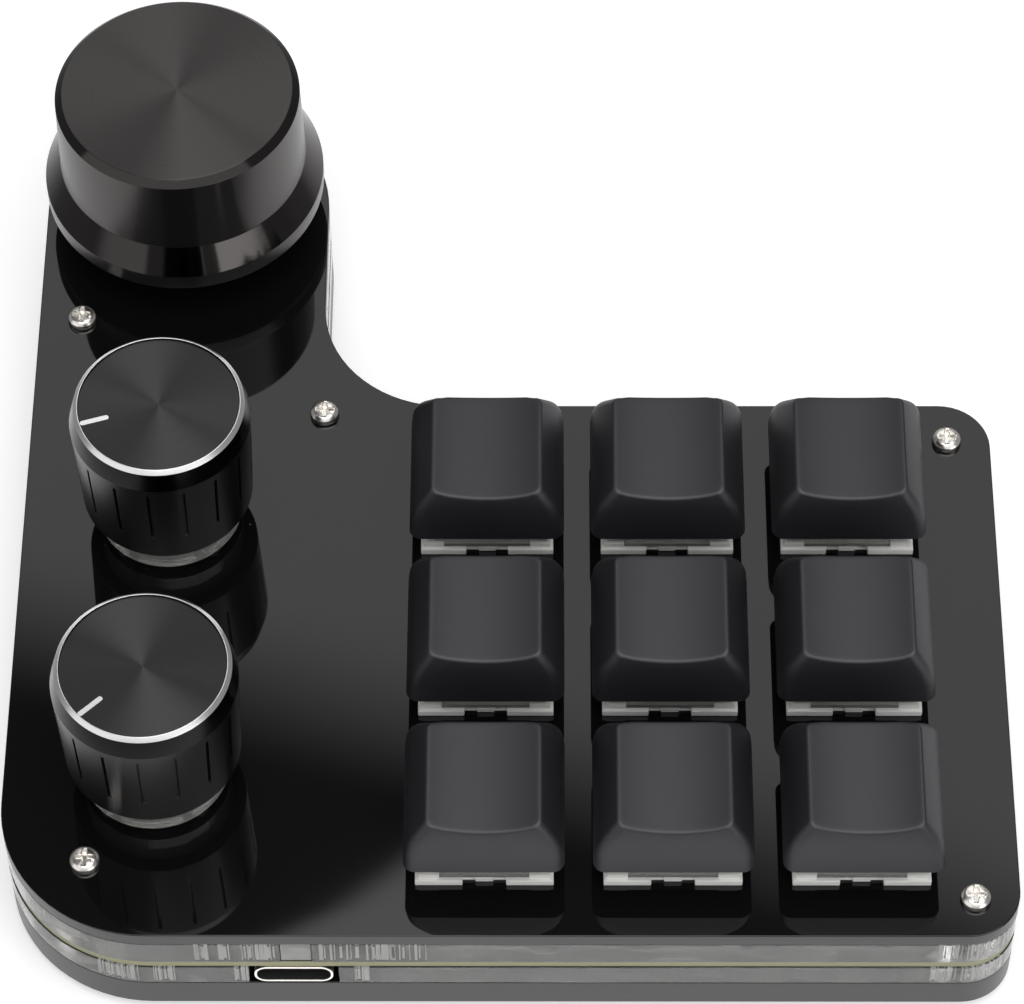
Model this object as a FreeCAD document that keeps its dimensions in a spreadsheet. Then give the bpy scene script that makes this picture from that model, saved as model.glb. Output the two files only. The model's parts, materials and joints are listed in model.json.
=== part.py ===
import FreeCAD, Part
import math
import os
import Sketcher

# Macro keypad with knobs: nine keys on the right, three turning and pressing knobs
# in a column on the left, on a stack of acrylic plates round a circuit board.
# Millimetres, +Z up. The origin is under the middle of the outline, on the surface
# that the feet stand on; the socket is at the front, towards -Y.

V = FreeCAD.Vector

# Driving dimensions: (name, value, what it is)
SIZES = [
    ("plate_width", 115.3, "outline, left to right"),
    ("block_depth", 73.3, "outline, front to back beside the keys"),
    ("column_width", 35.0, "knob column, left to right"),
    ("column_reach", 103.8, "front edge to the centre of the column's round end"),
    ("front_left_radius", 17.3, "outline corner"),
    ("right_corner_radius", 6.0, "outline corners on the right"),
    ("inner_corner_radius", 15.0, "hollow corner between column and key block"),
    ("foot_height", 1.5, "rubber foot"),
    ("foot_diameter", 8.0, "rubber foot"),
    ("foot_inset", 10.0, "foot centre from the outline"),
    ("bottom_plate_thickness", 4.5, "black base"),
    ("lower_frame_thickness", 3.5, "clear spacer under the board"),
    ("board_thickness", 1.2, "circuit board"),
    ("upper_frame_thickness", 4.0, "clear spacer over the board"),
    ("top_plate_thickness", 2.0, "black cover"),
    ("frame_wall", 5.0, "clear spacers, outline to pocket"),
    ("boss_radius", 4.2, "clear spacers, round each standoff"),
    ("board_inset", 0.15, "board edge behind the outline"),
    ("key_pitch_across", 21.2, "keys, left to right"),
    ("key_right_margin", 8.75, "right column's keycaps from the right edge"),
    ("key_front_margin", 5.25, "front row's keycaps from the front edge"),
    ("key_back_margin", 4.95, "back row's keycaps from the block's back edge"),
    ("switch_cutout", 14.0, "square hole for a switch"),
    ("switch_fit", 0.05, "switch body inside its hole, each side"),
    ("flange_size", 15.6, "switch flange on the cover"),
    ("flange_height", 1.0, "switch flange"),
    ("flange_notch_width", 4.9, "notch in the flange's front and back"),
    ("flange_notch_depth", 0.9, "the same notch"),
    ("flange_block_width", 2.05, "block left in the middle of the notch"),
    ("flange_block_setback", 0.5, "block's face behind the flange's edge"),
    ("switch_wall", 1.1, "lower housing wall"),
    ("switch_floor", 1.4, "lower housing floor"),
    ("peg_radius", 2.0, "locating peg through the board"),
    ("peg_fit", 0.06, "peg and pins in the board, radial"),
    ("pin_radius", 0.75, "switch pin"),
    ("pin_tail", 0.8, "switch pin below the board"),
    ("housing_height", 6.2, "upper housing's top over the cover"),
    ("housing_foot", 14.9, "upper housing's foot, square"),
    ("housing_top_across", 10.6, "upper housing's top, left to right"),
    ("housing_top_deep", 9.8, "upper housing's top, front to back"),
    ("housing_wall", 0.9, "upper housing's wall"),
    ("housing_roof", 1.2, "upper housing's roof"),
    ("slider_across", 6.8, "stem block, left to right"),
    ("slider_deep", 5.6, "stem block, front to back"),
    ("slider_gap", 0.2, "stem block in the roof, each side"),
    ("stem_flange_across", 8.4, "stem's stop flange, left to right"),
    ("stem_flange_deep", 7.4, "stem's stop flange, front to back"),
    ("stem_flange_thickness", 1.4, "stem's stop flange"),
    ("stem_stop_gap", 0.05, "stop flange under the roof"),
    ("spigot_radius", 1.2, "stem's spigot inside the spring"),
    ("spigot_floor_gap", 0.55, "pressed spigot over the switch's floor"),
    ("cross_height", 4.0, "cross that carries the cap"),
    ("cross_span", 4.0, "the same cross"),
    ("cross_web_across", 1.1, "cross bar that runs front to back"),
    ("cross_web_deep", 1.2, "cross bar that runs left to right"),
    ("cross_fit", 0.04, "cross in the cap's post, each side"),
    ("key_travel", 4.0, "key stroke"),
    ("spring_radius", 2.2, "key spring, outside"),
    ("spring_wire", 0.4, "key spring"),
    ("cap_base", 18.1, "keycap's lower edge, square"),
    ("cap_flange_gap", 0.1, "pressed keycap over the switch flange"),
    ("cap_waist_height", 3.5, "height at which the keycap's walls lean in more"),
    ("cap_waist_across", 17.5, "keycap at that height, left to right"),
    ("cap_waist_front", 8.45, "key centre to the front face at that height"),
    ("cap_waist_back", 8.35, "key centre to the back face at that height"),
    ("cap_height", 8.6, "keycap before its dish is cut"),
    ("cap_top_across", 11.8, "keycap at its full height, left to right"),
    ("cap_top_front", 7.2, "key centre to the front edge at that height"),
    ("cap_top_back", 5.4, "key centre to the back edge at that height"),
    ("cap_corner_radius", 1.4, "keycap's upright edges at the bottom"),
    ("cap_top_corner_radius", 1.1, "keycap's upright edges at the top"),
    ("cap_dish_radius", 21.5, "hollow of the keycap's top"),
    ("cap_dish_floor", 6.75, "lowest point of the dish over the cap's lower edge"),
    ("cap_dish_tilt", 3.5, "degrees, the back of the top is higher"),
    ("cap_wall", 1.3, "keycap wall"),
    ("cap_roof_gap", 0.4, "pressed keycap's roof over the switch"),
    ("cap_post_radius", 2.75, "keycap's post"),
    ("cap_post_gap", 0.15, "post's lower end over the stem block"),
    ("middle_knob_y", 57.4, "middle knob's axis from the front edge"),
    ("front_knob_y", 21.65, "front knob's axis from the front edge"),
    ("encoder_size", 11.7, "encoder case, square"),
    ("encoder_height", 6.5, "encoder case over the board"),
    ("encoder_corner", 0.8, "encoder case's upright edges"),
    ("encoder_gap", 0.15, "encoder case in the cover, each side"),
    ("encoder_floor", 1.0, "encoder case's floor"),
    ("encoder_roof", 1.0, "encoder case's roof"),
    ("encoder_bore", 4.6, "radius of the room inside the case"),
    ("bushing_radius", 3.5, "encoder bushing"),
    ("bushing_height", 5.0, "encoder bushing over the case"),
    ("shaft_radius", 3.0, "encoder shaft"),
    ("shaft_fit", 0.03, "shaft in its bushing and knob, radial"),
    ("shaft_reach", 15.0, "shaft's top over the case"),
    ("shaft_flat", 1.5, "shaft's axis to its flat"),
    ("shaft_flat_start", 0.5, "flat's lower end over the bushing"),
    ("collar_radius", 4.0, "shaft's collar inside the case"),
    ("collar_height", 2.1, "the same collar"),
    ("collar_gap", 0.2, "collar under the case's roof"),
    ("plunger_radius", 3.5, "push plunger"),
    ("plunger_height", 1.3, "push plunger"),
    ("plunger_gap", 0.05, "plunger under the shaft"),
    ("knob_press", 0.5, "knob stroke"),
    ("big_base_height", 5.5, "large knob's lower face over the cover"),
    ("big_base_radius", 17.1, "large knob's foot"),
    ("big_base_band", 2.4, "upright band at the foot"),
    ("big_flare_height", 3.3, "cone from the foot up to the wall"),
    ("big_wall_radius", 15.05, "wall where it meets the cone"),
    ("big_rim_radius", 14.8, "wall at the top"),
    ("big_top_radius", 13.95, "flat top"),
    ("big_top_height", 22.85, "flat top over the cover"),
    ("big_chamfer_height", 0.85, "chamfer round the top"),
    ("big_foot_chamfer", 0.5, "chamfer under the foot"),
    ("bore_roof_gap", 0.3, "knob bores above the shaft's top"),
    ("bushing_clearance", 0.7, "knobs round the bushing, radial"),
    ("big_recess_depth", 2.0, "recess under the large knob"),
    ("set_screw_radius", 1.5, "grub screw"),
    ("set_screw_length", 5.0, "grub screw"),
    ("set_screw_height", 13.0, "grub screw over the cover"),
    ("set_screw_tip_gap", 0.05, "grub screw off the shaft's flat"),
    ("set_screw_socket", 0.7, "grub screw's socket, across corners, radius"),
    ("small_bottom_height", 5.6, "small knob shell's lower edge over the cover"),
    ("small_bottom_radius", 10.0, "small knob shell at its lower edge"),
    ("small_shoulder_height", 19.4, "small knob shell's widest ring"),
    ("small_shoulder_radius", 10.5, "the same ring"),
    ("small_ring_height", 21.75, "bright ring's outer edge"),
    ("small_ring_radius", 9.9, "the same edge"),
    ("small_face_radius", 9.4, "face inside the bright ring"),
    ("small_top_height", 22.2, "top of the bright ring"),
    ("small_face_drop", 0.25, "face below the ring"),
    ("small_roof", 1.4, "small knob shell's roof"),
    ("slit_width", 0.4, "slits in the small knobs"),
    ("slit_depth", 0.35, "the same slits"),
    ("slit_low", 9.4, "slit's lower end over the cover"),
    ("slit_high", 18.3, "slit's upper end over the cover"),
    ("slit_count", 16, "slits round a small knob"),
    ("pointer_inner", 6.1, "pointer's inner end"),
    ("pointer_width", 0.6, "pointer"),
    ("pointer_depth", 0.25, "pointer groove"),
    ("middle_pointer_angle", 197.0, "degrees from the right"),
    ("front_pointer_angle", 223.5, "degrees from the right"),
    ("core_radius", 8.5, "clear core"),
    ("core_bottom_height", 1.2, "clear core's lower edge over the cover"),
    ("core_wall", 1.2, "clear core's outer wall"),
    ("core_hub_radius", 5.4, "clear core's hub"),
    ("core_web", 1.0, "ribs between hub and wall"),
    ("core_roof", 2.6, "clear core's closed top"),
    ("core_fit", 0.05, "core under the shell's roof"),
    ("screw_shank_radius", 0.95, "screws"),
    ("screw_hole_radius", 1.1, "screw holes in the plates"),
    ("screw_head_radius", 1.75, "pan head"),
    ("screw_head_height", 1.25, "pan head"),
    ("screw_bite", 3.6, "screw inside its standoff"),
    ("cross_recess_span", 1.9, "recess in the screw head"),
    ("cross_recess_width", 0.5, "the same recess"),
    ("cross_recess_depth", 0.7, "the same recess"),
    ("standoff_radius", 1.8, "threaded spacer"),
    ("standoff_bore", 1.0, "threaded spacer's bore, radius"),
    ("standoff_gap", 0.08, "spacer in the frames and board, radial"),
    ("back_left_screw_x", 5.25, "from the left edge"),
    ("back_left_screw_y", 17.5, "in front of the large knob's axis"),
    ("inner_screw_x", 0.35, "to the right of the column's right edge"),
    ("inner_screw_y", 1.4, "in front of the block's back edge"),
    ("back_right_screw_x", 5.2, "from the right edge"),
    ("back_right_screw_y", 5.4, "in front of the block's back edge"),
    ("front_left_screw_x", 10.0, "from the left edge"),
    ("front_left_screw_y", 9.5, "from the front edge"),
    ("front_right_screw_x", 5.1, "from the right edge"),
    ("front_right_screw_y", 4.8, "from the front edge"),
    ("socket_x", 33.5, "socket's middle from the left edge"),
    ("socket_width", 8.94, "socket shell"),
    ("socket_height", 3.2, "socket shell"),
    ("socket_wall", 0.3, "socket shell"),
    ("socket_corner", 1.45, "socket shell's corners, outside"),
    ("socket_length", 7.3, "socket shell"),
    ("socket_back", 1.2, "closed back of the socket"),
    ("socket_opening", 10.2, "gap in the lower clear frame"),
    ("tongue_width", 6.7, "socket tongue"),
    ("tongue_thickness", 0.7, "socket tongue"),
    ("tongue_length", 4.6, "socket tongue"),
    ("light_gap_width", 3.6, "narrow gap in the upper clear frame"),
    ("light_gap_x", 33.9, "its middle from the left edge"),
    ("chip_size", 7.0, "controller chip, square"),
    ("chip_height", 0.9, "controller chip"),
    ("chip_offset", 7.1, "controller chip to the left of the first key column"),
    ("chip_y", 25.5, "controller chip from the front edge"),
    ("diode_across", 3.6, "diode, left to right"),
    ("diode_deep", 1.6, "diode, front to back"),
    ("diode_height", 1.1, "diode"),
    ("diode_offset", 8.2, "diode behind its key's centre"),
]

# Switch pins from the key's centre: (right, back)
SWITCH_PINS = [(-3.81, 2.54), (2.54, 5.08)]
COLUMNS = range(3)
ROWS = range(3)

# Keycap's lower edge over the cover, and its inside roof over that edge
CAP_LIFT = "(flange_height + key_travel + cap_flange_gap)"
CAP_CEILING = f"(housing_height + key_travel + cap_roof_gap - {CAP_LIFT})"

doc = FreeCAD.newDocument("macro_keypad")
sizes = doc.addObject("Spreadsheet::Sheet", "Sizes")
sizes.Label = "sizes"
for line, (name, number, note) in enumerate(SIZES, start=1):
    sizes.set(f"A{line}", name)
    sizes.set(f"B{line}", str(number))
    sizes.set(f"C{line}", note)
    sizes.setAlias(f"B{line}", name)
doc.recompute()


def size(text):
    """Write a formula over the sheet: every bare name becomes a cell's alias."""
    names = {name for name, _, _ in SIZES}
    out = []
    word = ""
    for letter in text + " ":
        if letter.isalnum() or letter == "_":
            word += letter
            continue
        out.append(f"Sizes.{word}" if word in names else word)
        word = ""
        out.append(letter)
    return "".join(out).strip()


def value(text):
    """The number that a formula gives now."""
    return float(sizes.evalExpression(size(text)))


# Heights over the standing surface
BASE_LEVEL = "foot_height"
LOWER_LEVEL = f"{BASE_LEVEL} + bottom_plate_thickness"
BOARD_LEVEL = f"{LOWER_LEVEL} + lower_frame_thickness"
UPPER_LEVEL = f"{BOARD_LEVEL} + board_thickness"
TOP_LEVEL = f"{UPPER_LEVEL} + upper_frame_thickness"
FACE_LEVEL = f"{TOP_LEVEL} + top_plate_thickness"

# The outline's left edge and front edge in the part's frame
LEFT = "-plate_width / 2"
FRONT = "-(column_reach + column_width / 2) / 2"


# Screw centres from the outline's corner: (right, back)
SCREWS = [
    ("back_left_screw_x", "column_reach - back_left_screw_y"),
    ("column_width + inner_screw_x", "block_depth - inner_screw_y"),
    ("plate_width - back_right_screw_x", "block_depth - back_right_screw_y"),
    ("front_left_screw_x", "front_left_screw_y"),
    ("plate_width - front_right_screw_x", "front_right_screw_y"),
]


def place(thing, across, deep, height, turn=None):
    """Bind a thing's position to formulas; across and deep are from the outline's corner."""
    thing.setExpression("Placement.Base.x", size(f"{LEFT} + {across}"))
    thing.setExpression("Placement.Base.y", size(f"{FRONT} + {deep}"))
    thing.setExpression("Placement.Base.z", size(height))
    if turn is not None:
        thing.Placement.Rotation = FreeCAD.Rotation(V(0, 0, 1), value(turn))
        thing.setExpression("Placement.Rotation.Angle", size(turn))


def new_body(label):
    body = doc.addObject("PartDesign::Body", label)
    body.Label = label
    return body


def new_sketch(body, name, plane="XY_Plane", lift="0", tilt=None):
    """A sketch on one of the body's own planes, lifted along that plane's normal."""
    sketch = body.newObject("Sketcher::SketchObject", f"{body.Name}_{name}")
    support = next(item for item in body.Origin.OriginFeatures if item.Role == plane)
    sketch.AttachmentSupport = (support, [""])
    sketch.MapMode = "FlatFace"
    if tilt is not None:
        sketch.AttachmentOffset = FreeCAD.Placement(V(), FreeCAD.Rotation(V(1, 0, 0), value(tilt)))
        sketch.setExpression("AttachmentOffset.Rotation.Angle", size(tilt))
    sketch.setExpression("AttachmentOffset.Base.z", size(lift))
    return sketch


def bind(sketch, constraint, text):
    number = sketch.addConstraint(constraint)
    sketch.setExpression(f"Constraints[{number}]", size(text))


def pin(sketch, curve, point, across, up):
    """Hold one point of a curve at a place given by two formulas."""
    bind(sketch, Sketcher.Constraint("DistanceX", -1, 1, curve, point, value(across)), across)
    bind(sketch, Sketcher.Constraint("DistanceY", -1, 1, curve, point, value(up)), up)


def draw_polygon(sketch, corners):
    """A closed outline of straight lines through corners given by formulas."""
    spots = [V(value(across), value(up), 0) for across, up in corners]
    first = sketch.GeometryCount
    count = len(corners)
    for index in range(count):
        sketch.addGeometry(Part.LineSegment(spots[index], spots[(index + 1) % count]), False)
    for index in range(count):
        following = first + (index + 1) % count
        sketch.addConstraint(Sketcher.Constraint("Coincident", first + index, 2, following, 1))
    for index, (across, up) in enumerate(corners):
        pin(sketch, first + index, 1, across, up)


def draw_box(sketch, left, right, low, high):
    draw_polygon(sketch, [(left, low), (right, low), (right, high), (left, high)])


def draw_rounded_box(sketch, left, right, low, high, radius):
    """A box with round corners: four lines held at both ends and four arcs between them."""
    sides = [
        ((f"{left} + ({radius})", low), (f"{right} - ({radius})", low)),
        ((right, f"{low} + ({radius})"), (right, f"{high} - ({radius})")),
        ((f"{right} - ({radius})", high), (f"{left} + ({radius})", high)),
        ((left, f"{high} - ({radius})"), (left, f"{low} + ({radius})")),
    ]
    reach = value(radius)
    first = sketch.GeometryCount
    for index, (start, end) in enumerate(sides):
        start_spot = V(value(start[0]), value(start[1]), 0)
        end_spot = V(value(end[0]), value(end[1]), 0)
        along = (end_spot - start_spot).normalize()
        centre = end_spot + V(-along.y, along.x, 0) * reach
        angle = (index - 1) * math.pi / 2
        whole = Part.Circle(centre, V(0, 0, 1), reach)
        sketch.addGeometry(Part.LineSegment(start_spot, end_spot), False)
        sketch.addGeometry(Part.ArcOfCircle(whole, angle, angle + math.pi / 2), False)
    for index, (start, end) in enumerate(sides):
        line = first + 2 * index
        following = first + 2 * ((index + 1) % 4)
        sketch.addConstraint(Sketcher.Constraint("Coincident", line, 2, line + 1, 1))
        sketch.addConstraint(Sketcher.Constraint("Coincident", line + 1, 2, following, 1))
        bind(sketch, Sketcher.Constraint("Radius", line + 1, reach), radius)
        pin(sketch, line, 1, *start)
        pin(sketch, line, 2, *end)


def draw_centred_box(sketch, across, deep, x="0", y="0"):
    side = f"({across}) / 2"
    end = f"({deep}) / 2"
    draw_box(sketch, f"{x} - {side}", f"{x} + {side}", f"{y} - {end}", f"{y} + {end}")


def draw_circle(sketch, radius, x="0", y="0"):
    curve = sketch.addGeometry(Part.Circle(V(value(x), value(y), 0), V(0, 0, 1), value(radius)), False)
    bind(sketch, Sketcher.Constraint("Radius", curve, value(radius)), radius)
    pin(sketch, curve, 3, x, y)


def draw_flatted_circle(sketch, radius, flat):
    """A circle about the origin whose back is cut off straight, as on a D shaft."""
    reach = value(radius)
    height = value(flat)
    lean = math.asin(height / reach)
    whole = Part.Circle(V(), V(0, 0, 1), reach)
    arc = sketch.addGeometry(Part.ArcOfCircle(whole, math.pi - lean, 2 * math.pi + lean), False)
    half = math.sqrt(reach * reach - height * height)
    line = sketch.addGeometry(Part.LineSegment(V(half, height, 0), V(-half, height, 0)), False)
    sketch.addConstraint(Sketcher.Constraint("Coincident", arc, 3, -1, 1))
    sketch.addConstraint(Sketcher.Constraint("Coincident", arc, 2, line, 1))
    sketch.addConstraint(Sketcher.Constraint("Coincident", line, 2, arc, 1))
    sketch.addConstraint(Sketcher.Constraint("Horizontal", line))
    bind(sketch, Sketcher.Constraint("Radius", arc, reach), radius)
    bind(sketch, Sketcher.Constraint("DistanceY", -1, 1, line, 1, height), flat)


def pad(body, sketch, length, name="pad"):
    feature = body.newObject("PartDesign::Pad", f"{body.Name}_{name}")
    feature.Profile = sketch
    feature.setExpression("Length", size(length))
    doc.recompute()
    return feature


def cut(body, sketch, length, name="pocket", towards_normal=False, both_ways=False):
    """Cut a sketch into the body; by default against the sketch's normal."""
    before = body.Shape.Volume
    feature = body.newObject("PartDesign::Pocket", f"{body.Name}_{name}")
    feature.Profile = sketch
    feature.Reversed = towards_normal
    feature.Midplane = both_ways
    feature.setExpression("Length", size(length))
    doc.recompute()
    if not body.Shape.Volume < before:
        raise RuntimeError(f"{body.Label}: {name} cuts nothing")
    return feature


def turn(body, sketch, name="turned"):
    """Turn a half profile drawn on the XZ plane about the upright axis."""
    feature = body.newObject("PartDesign::Revolution", f"{body.Name}_{name}")
    feature.Profile = sketch
    feature.ReferenceAxis = (sketch, ["V_Axis"])
    feature.Angle = 360
    doc.recompute()
    return feature


def turned_body(label, profile):
    body = new_body(label)
    sketch = new_sketch(body, "profile", "XZ_Plane")
    draw_polygon(sketch, profile)
    turn(body, sketch)
    return body


def loft(body, sketches, kind="Additive"):
    feature = body.newObject(f"PartDesign::{kind}Loft", f"{body.Name}_{kind.lower()}_loft")
    feature.Profile = sketches[0]
    feature.Sections = sketches[1:]
    feature.Ruled = True
    doc.recompute()
    return feature


def round_edges(body, radius, chosen, name="rounding"):
    """Fillet those edges of the body's last feature that a test picks out."""
    doc.recompute()
    base = body.Tip
    names = [f"Edge{number}" for number, edge in enumerate(base.Shape.Edges, start=1) if chosen(edge)]
    feature = body.newObject("PartDesign::Fillet", f"{body.Name}_{name}")
    feature.Base = (base, names)
    feature.setExpression("Radius", size(radius))
    doc.recompute()
    return feature


def upright(edge):
    """True for a straight edge along Z."""
    start, end = edge.Vertexes[0].Point, edge.Vertexes[-1].Point
    return abs(start.x - end.x) < 1e-6 and abs(start.y - end.y) < 1e-6 and len(edge.Vertexes) == 2


def upright_at(places):
    """A test for upright edges that stand at one of the given formula places."""
    spots = [(value(across), value(deep)) for across, deep in places]

    def test(edge):
        if not upright(edge):
            return False
        point = edge.Vertexes[0].Point
        return any(abs(point.x - x) < 1e-4 and abs(point.y - y) < 1e-4 for x, y in spots)

    return test


def repeat_round(body, feature, count, name="round", angle="360"):
    pattern = body.newObject("PartDesign::PolarPattern", f"{body.Name}_{name}")
    pattern.Originals = [feature]
    axis = next(item for item in body.Origin.OriginFeatures if item.Role == "Z_Axis")
    pattern.Axis = (axis, [""])
    pattern.Angle = float(angle)
    pattern.setExpression("Occurrences", size(count))
    body.Tip = pattern
    doc.recompute()
    return pattern


def copy_of(original, label):
    """Another body with the same shape and a place of its own."""
    body = doc.addObject("PartDesign::Body", label)
    body.Label = label
    feature = doc.addObject("PartDesign::FeatureBase", f"{body.Name}_copy")
    feature.BaseFeature = original
    body.Group = [feature]
    body.Tip = feature
    return body


def group_of(original, label, places, flip=False):
    """One node that holds the same piece at several places."""
    links = []
    for number, (across, deep, height) in enumerate(places, start=1):
        link = doc.addObject("App::Link", f"{label}_{number}")
        link.LinkedObject = original
        if flip:
            link.Placement = FreeCAD.Placement(V(), FreeCAD.Rotation(V(1, 0, 0), 180))
        place(link, across, deep, height)
        links.append(link)
    group = doc.addObject("Part::Compound", label)
    group.Label = label
    group.Links = links
    return group


# Places
KEY_PITCH_DEEP = "(block_depth - key_front_margin - key_back_margin - cap_base) / 2"


def key_place(column, row):
    across = f"plate_width - key_right_margin - cap_base / 2 - {2 - column} * key_pitch_across"
    deep = f"key_front_margin + cap_base / 2 + {2 - row} * {KEY_PITCH_DEEP}"
    return across, deep


KEYS = [(column, row) for row in ROWS for column in COLUMNS]
KNOB_ACROSS = "column_width / 2"
KNOBS = {"back": "column_reach", "middle": "middle_knob_y", "front": "front_knob_y"}


def outline_corners(inset):
    """The L outline's corners, from the front left one, moved in by a formula."""
    left = f"{inset}"
    right = f"plate_width - ({inset})"
    front = f"{inset}"
    back = f"block_depth - ({inset})"
    inner = f"column_width - ({inset})"
    end = "column_reach"
    return [(left, front), (right, front), (right, back), (inner, back), (inner, end), (left, end)]


def draw_outline(sketch, inset):
    """The L outline with its column's round end; the other corners are still sharp."""
    corners = outline_corners(inset)
    spots = [V(value(across), value(up), 0) for across, up in corners]
    for index in range(4):
        sketch.addGeometry(Part.LineSegment(spots[index], spots[index + 1]), False)
    centre = (spots[4] + spots[5]) * 0.5
    whole = Part.Circle(centre, V(0, 0, 1), (spots[4] - centre).Length)
    arc = sketch.addGeometry(Part.ArcOfCircle(whole, 0, math.pi), False)
    closing = sketch.addGeometry(Part.LineSegment(spots[5], spots[0]), False)
    for index in range(3):
        sketch.addConstraint(Sketcher.Constraint("Coincident", index, 2, index + 1, 1))
    sketch.addConstraint(Sketcher.Constraint("Coincident", 3, 2, arc, 1))
    sketch.addConstraint(Sketcher.Constraint("Coincident", arc, 2, closing, 1))
    sketch.addConstraint(Sketcher.Constraint("Coincident", closing, 2, 0, 1))
    for index in range(4):
        pin(sketch, index, 1, *corners[index])
    pin(sketch, 3, 2, *corners[4])
    pin(sketch, closing, 1, *corners[5])
    bind(sketch, Sketcher.Constraint("DistanceY", -1, 1, arc, 3, centre.y), "column_reach")


def round_outline(body, inset):
    """Round the L's corners; a pocket's corners are as much tighter as it is set in."""
    corners = outline_corners(inset)
    step = len(body.Group)
    round_edges(body, f"front_left_radius - ({inset})", upright_at(corners[0:1]), f"front_left_{step}")
    round_edges(body, f"right_corner_radius - ({inset})", upright_at(corners[1:3]), f"right_{step}")
    round_edges(body, f"inner_corner_radius + ({inset})", upright_at(corners[3:4]), f"inner_{step}")


def slab(label, thickness, level, inset="0", wall=None):
    """One layer of the stack with the L outline; with a wall it is open inside."""
    body = new_body(label)
    sketch = new_sketch(body, "outline")
    draw_outline(sketch, inset)
    pad(body, sketch, thickness)
    if wall is not None:
        sketch = new_sketch(body, "pocket", lift=thickness)
        draw_outline(sketch, wall)
        cut(body, sketch, thickness, "pocket_cut")
        round_outline(body, wall)
    round_outline(body, inset)
    place(body, "0", "0", level)
    return body


def drill(body, radius, places, depth, name):
    sketch = new_sketch(body, name, lift=depth)
    for across, deep in places:
        draw_circle(sketch, radius, across, deep)
    cut(body, sketch, depth, f"{name}_cut")


def top_plate():
    body = slab("top_plate", "top_plate_thickness", TOP_LEVEL)
    sketch = new_sketch(body, "key_holes", lift="top_plate_thickness")
    for column, row in KEYS:
        across, deep = key_place(column, row)
        draw_centred_box(sketch, "switch_cutout", "switch_cutout", across, deep)
    cut(body, sketch, "top_plate_thickness", "key_cut")
    sketch = new_sketch(body, "knob_holes", lift="top_plate_thickness")
    opening = "encoder_size + 2 * encoder_gap"
    for deep in KNOBS.values():
        draw_centred_box(sketch, opening, opening, KNOB_ACROSS, deep)
    cut(body, sketch, "top_plate_thickness", "knob_cut")
    half = f"({opening}) / 2"
    corners = [(f"{KNOB_ACROSS} + ({right}) * {half}", f"{deep} + ({back}) * {half}")
               for deep in KNOBS.values() for right in (-1, 1) for back in (-1, 1)]
    round_edges(body, "encoder_corner", upright_at(corners), "knob_hole_corners")
    drill(body, "screw_hole_radius", SCREWS, "top_plate_thickness", "screw_holes")
    return body


def clear_frame(label, thickness, level):
    """A clear spacer: a wall all round, with a boss at each standoff."""
    body = slab(label, thickness, level, wall="frame_wall")
    sketch = new_sketch(body, "bosses")
    for across, deep in SCREWS:
        draw_circle(sketch, "boss_radius", across, deep)
    pad(body, sketch, thickness, "boss_pad")
    drill(body, "standoff_radius + standoff_gap", SCREWS, thickness, "standoff_holes")
    return body


def upper_clear_frame():
    body = clear_frame("upper_clear_frame", "upper_frame_thickness", UPPER_LEVEL)
    sketch = new_sketch(body, "light_gap", lift="upper_frame_thickness")
    draw_box(sketch, "light_gap_x - light_gap_width / 2", "light_gap_x + light_gap_width / 2",
             "-frame_wall", "frame_wall * 1.2")
    cut(body, sketch, "upper_frame_thickness", "light_gap_cut")
    return body


def lower_clear_frame():
    body = clear_frame("lower_clear_frame", "lower_frame_thickness", LOWER_LEVEL)
    sketch = new_sketch(body, "socket_gap", lift="lower_frame_thickness")
    draw_box(sketch, "socket_x - socket_opening / 2", "socket_x + socket_opening / 2",
             "-frame_wall", "frame_wall * 1.2")
    cut(body, sketch, "lower_frame_thickness", "socket_gap_cut")
    return body


def circuit_board():
    body = slab("circuit_board", "board_thickness", BOARD_LEVEL, "board_inset")
    drill(body, "standoff_radius + standoff_gap", SCREWS, "board_thickness", "standoff_holes")
    drill(body, "peg_radius + peg_fit", [key_place(*key) for key in KEYS], "board_thickness", "peg_holes")
    pins = []
    for key in KEYS:
        across, deep = key_place(*key)
        pins += [(f"{across} + ({right})", f"{deep} + ({back})") for right, back in SWITCH_PINS]
    drill(body, "pin_radius + peg_fit", pins, "board_thickness", "pin_holes")
    return body


def bottom_plate():
    body = slab("bottom_plate", "bottom_plate_thickness", BASE_LEVEL)
    drill(body, "screw_hole_radius", SCREWS, "bottom_plate_thickness", "screw_holes")
    return body


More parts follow.
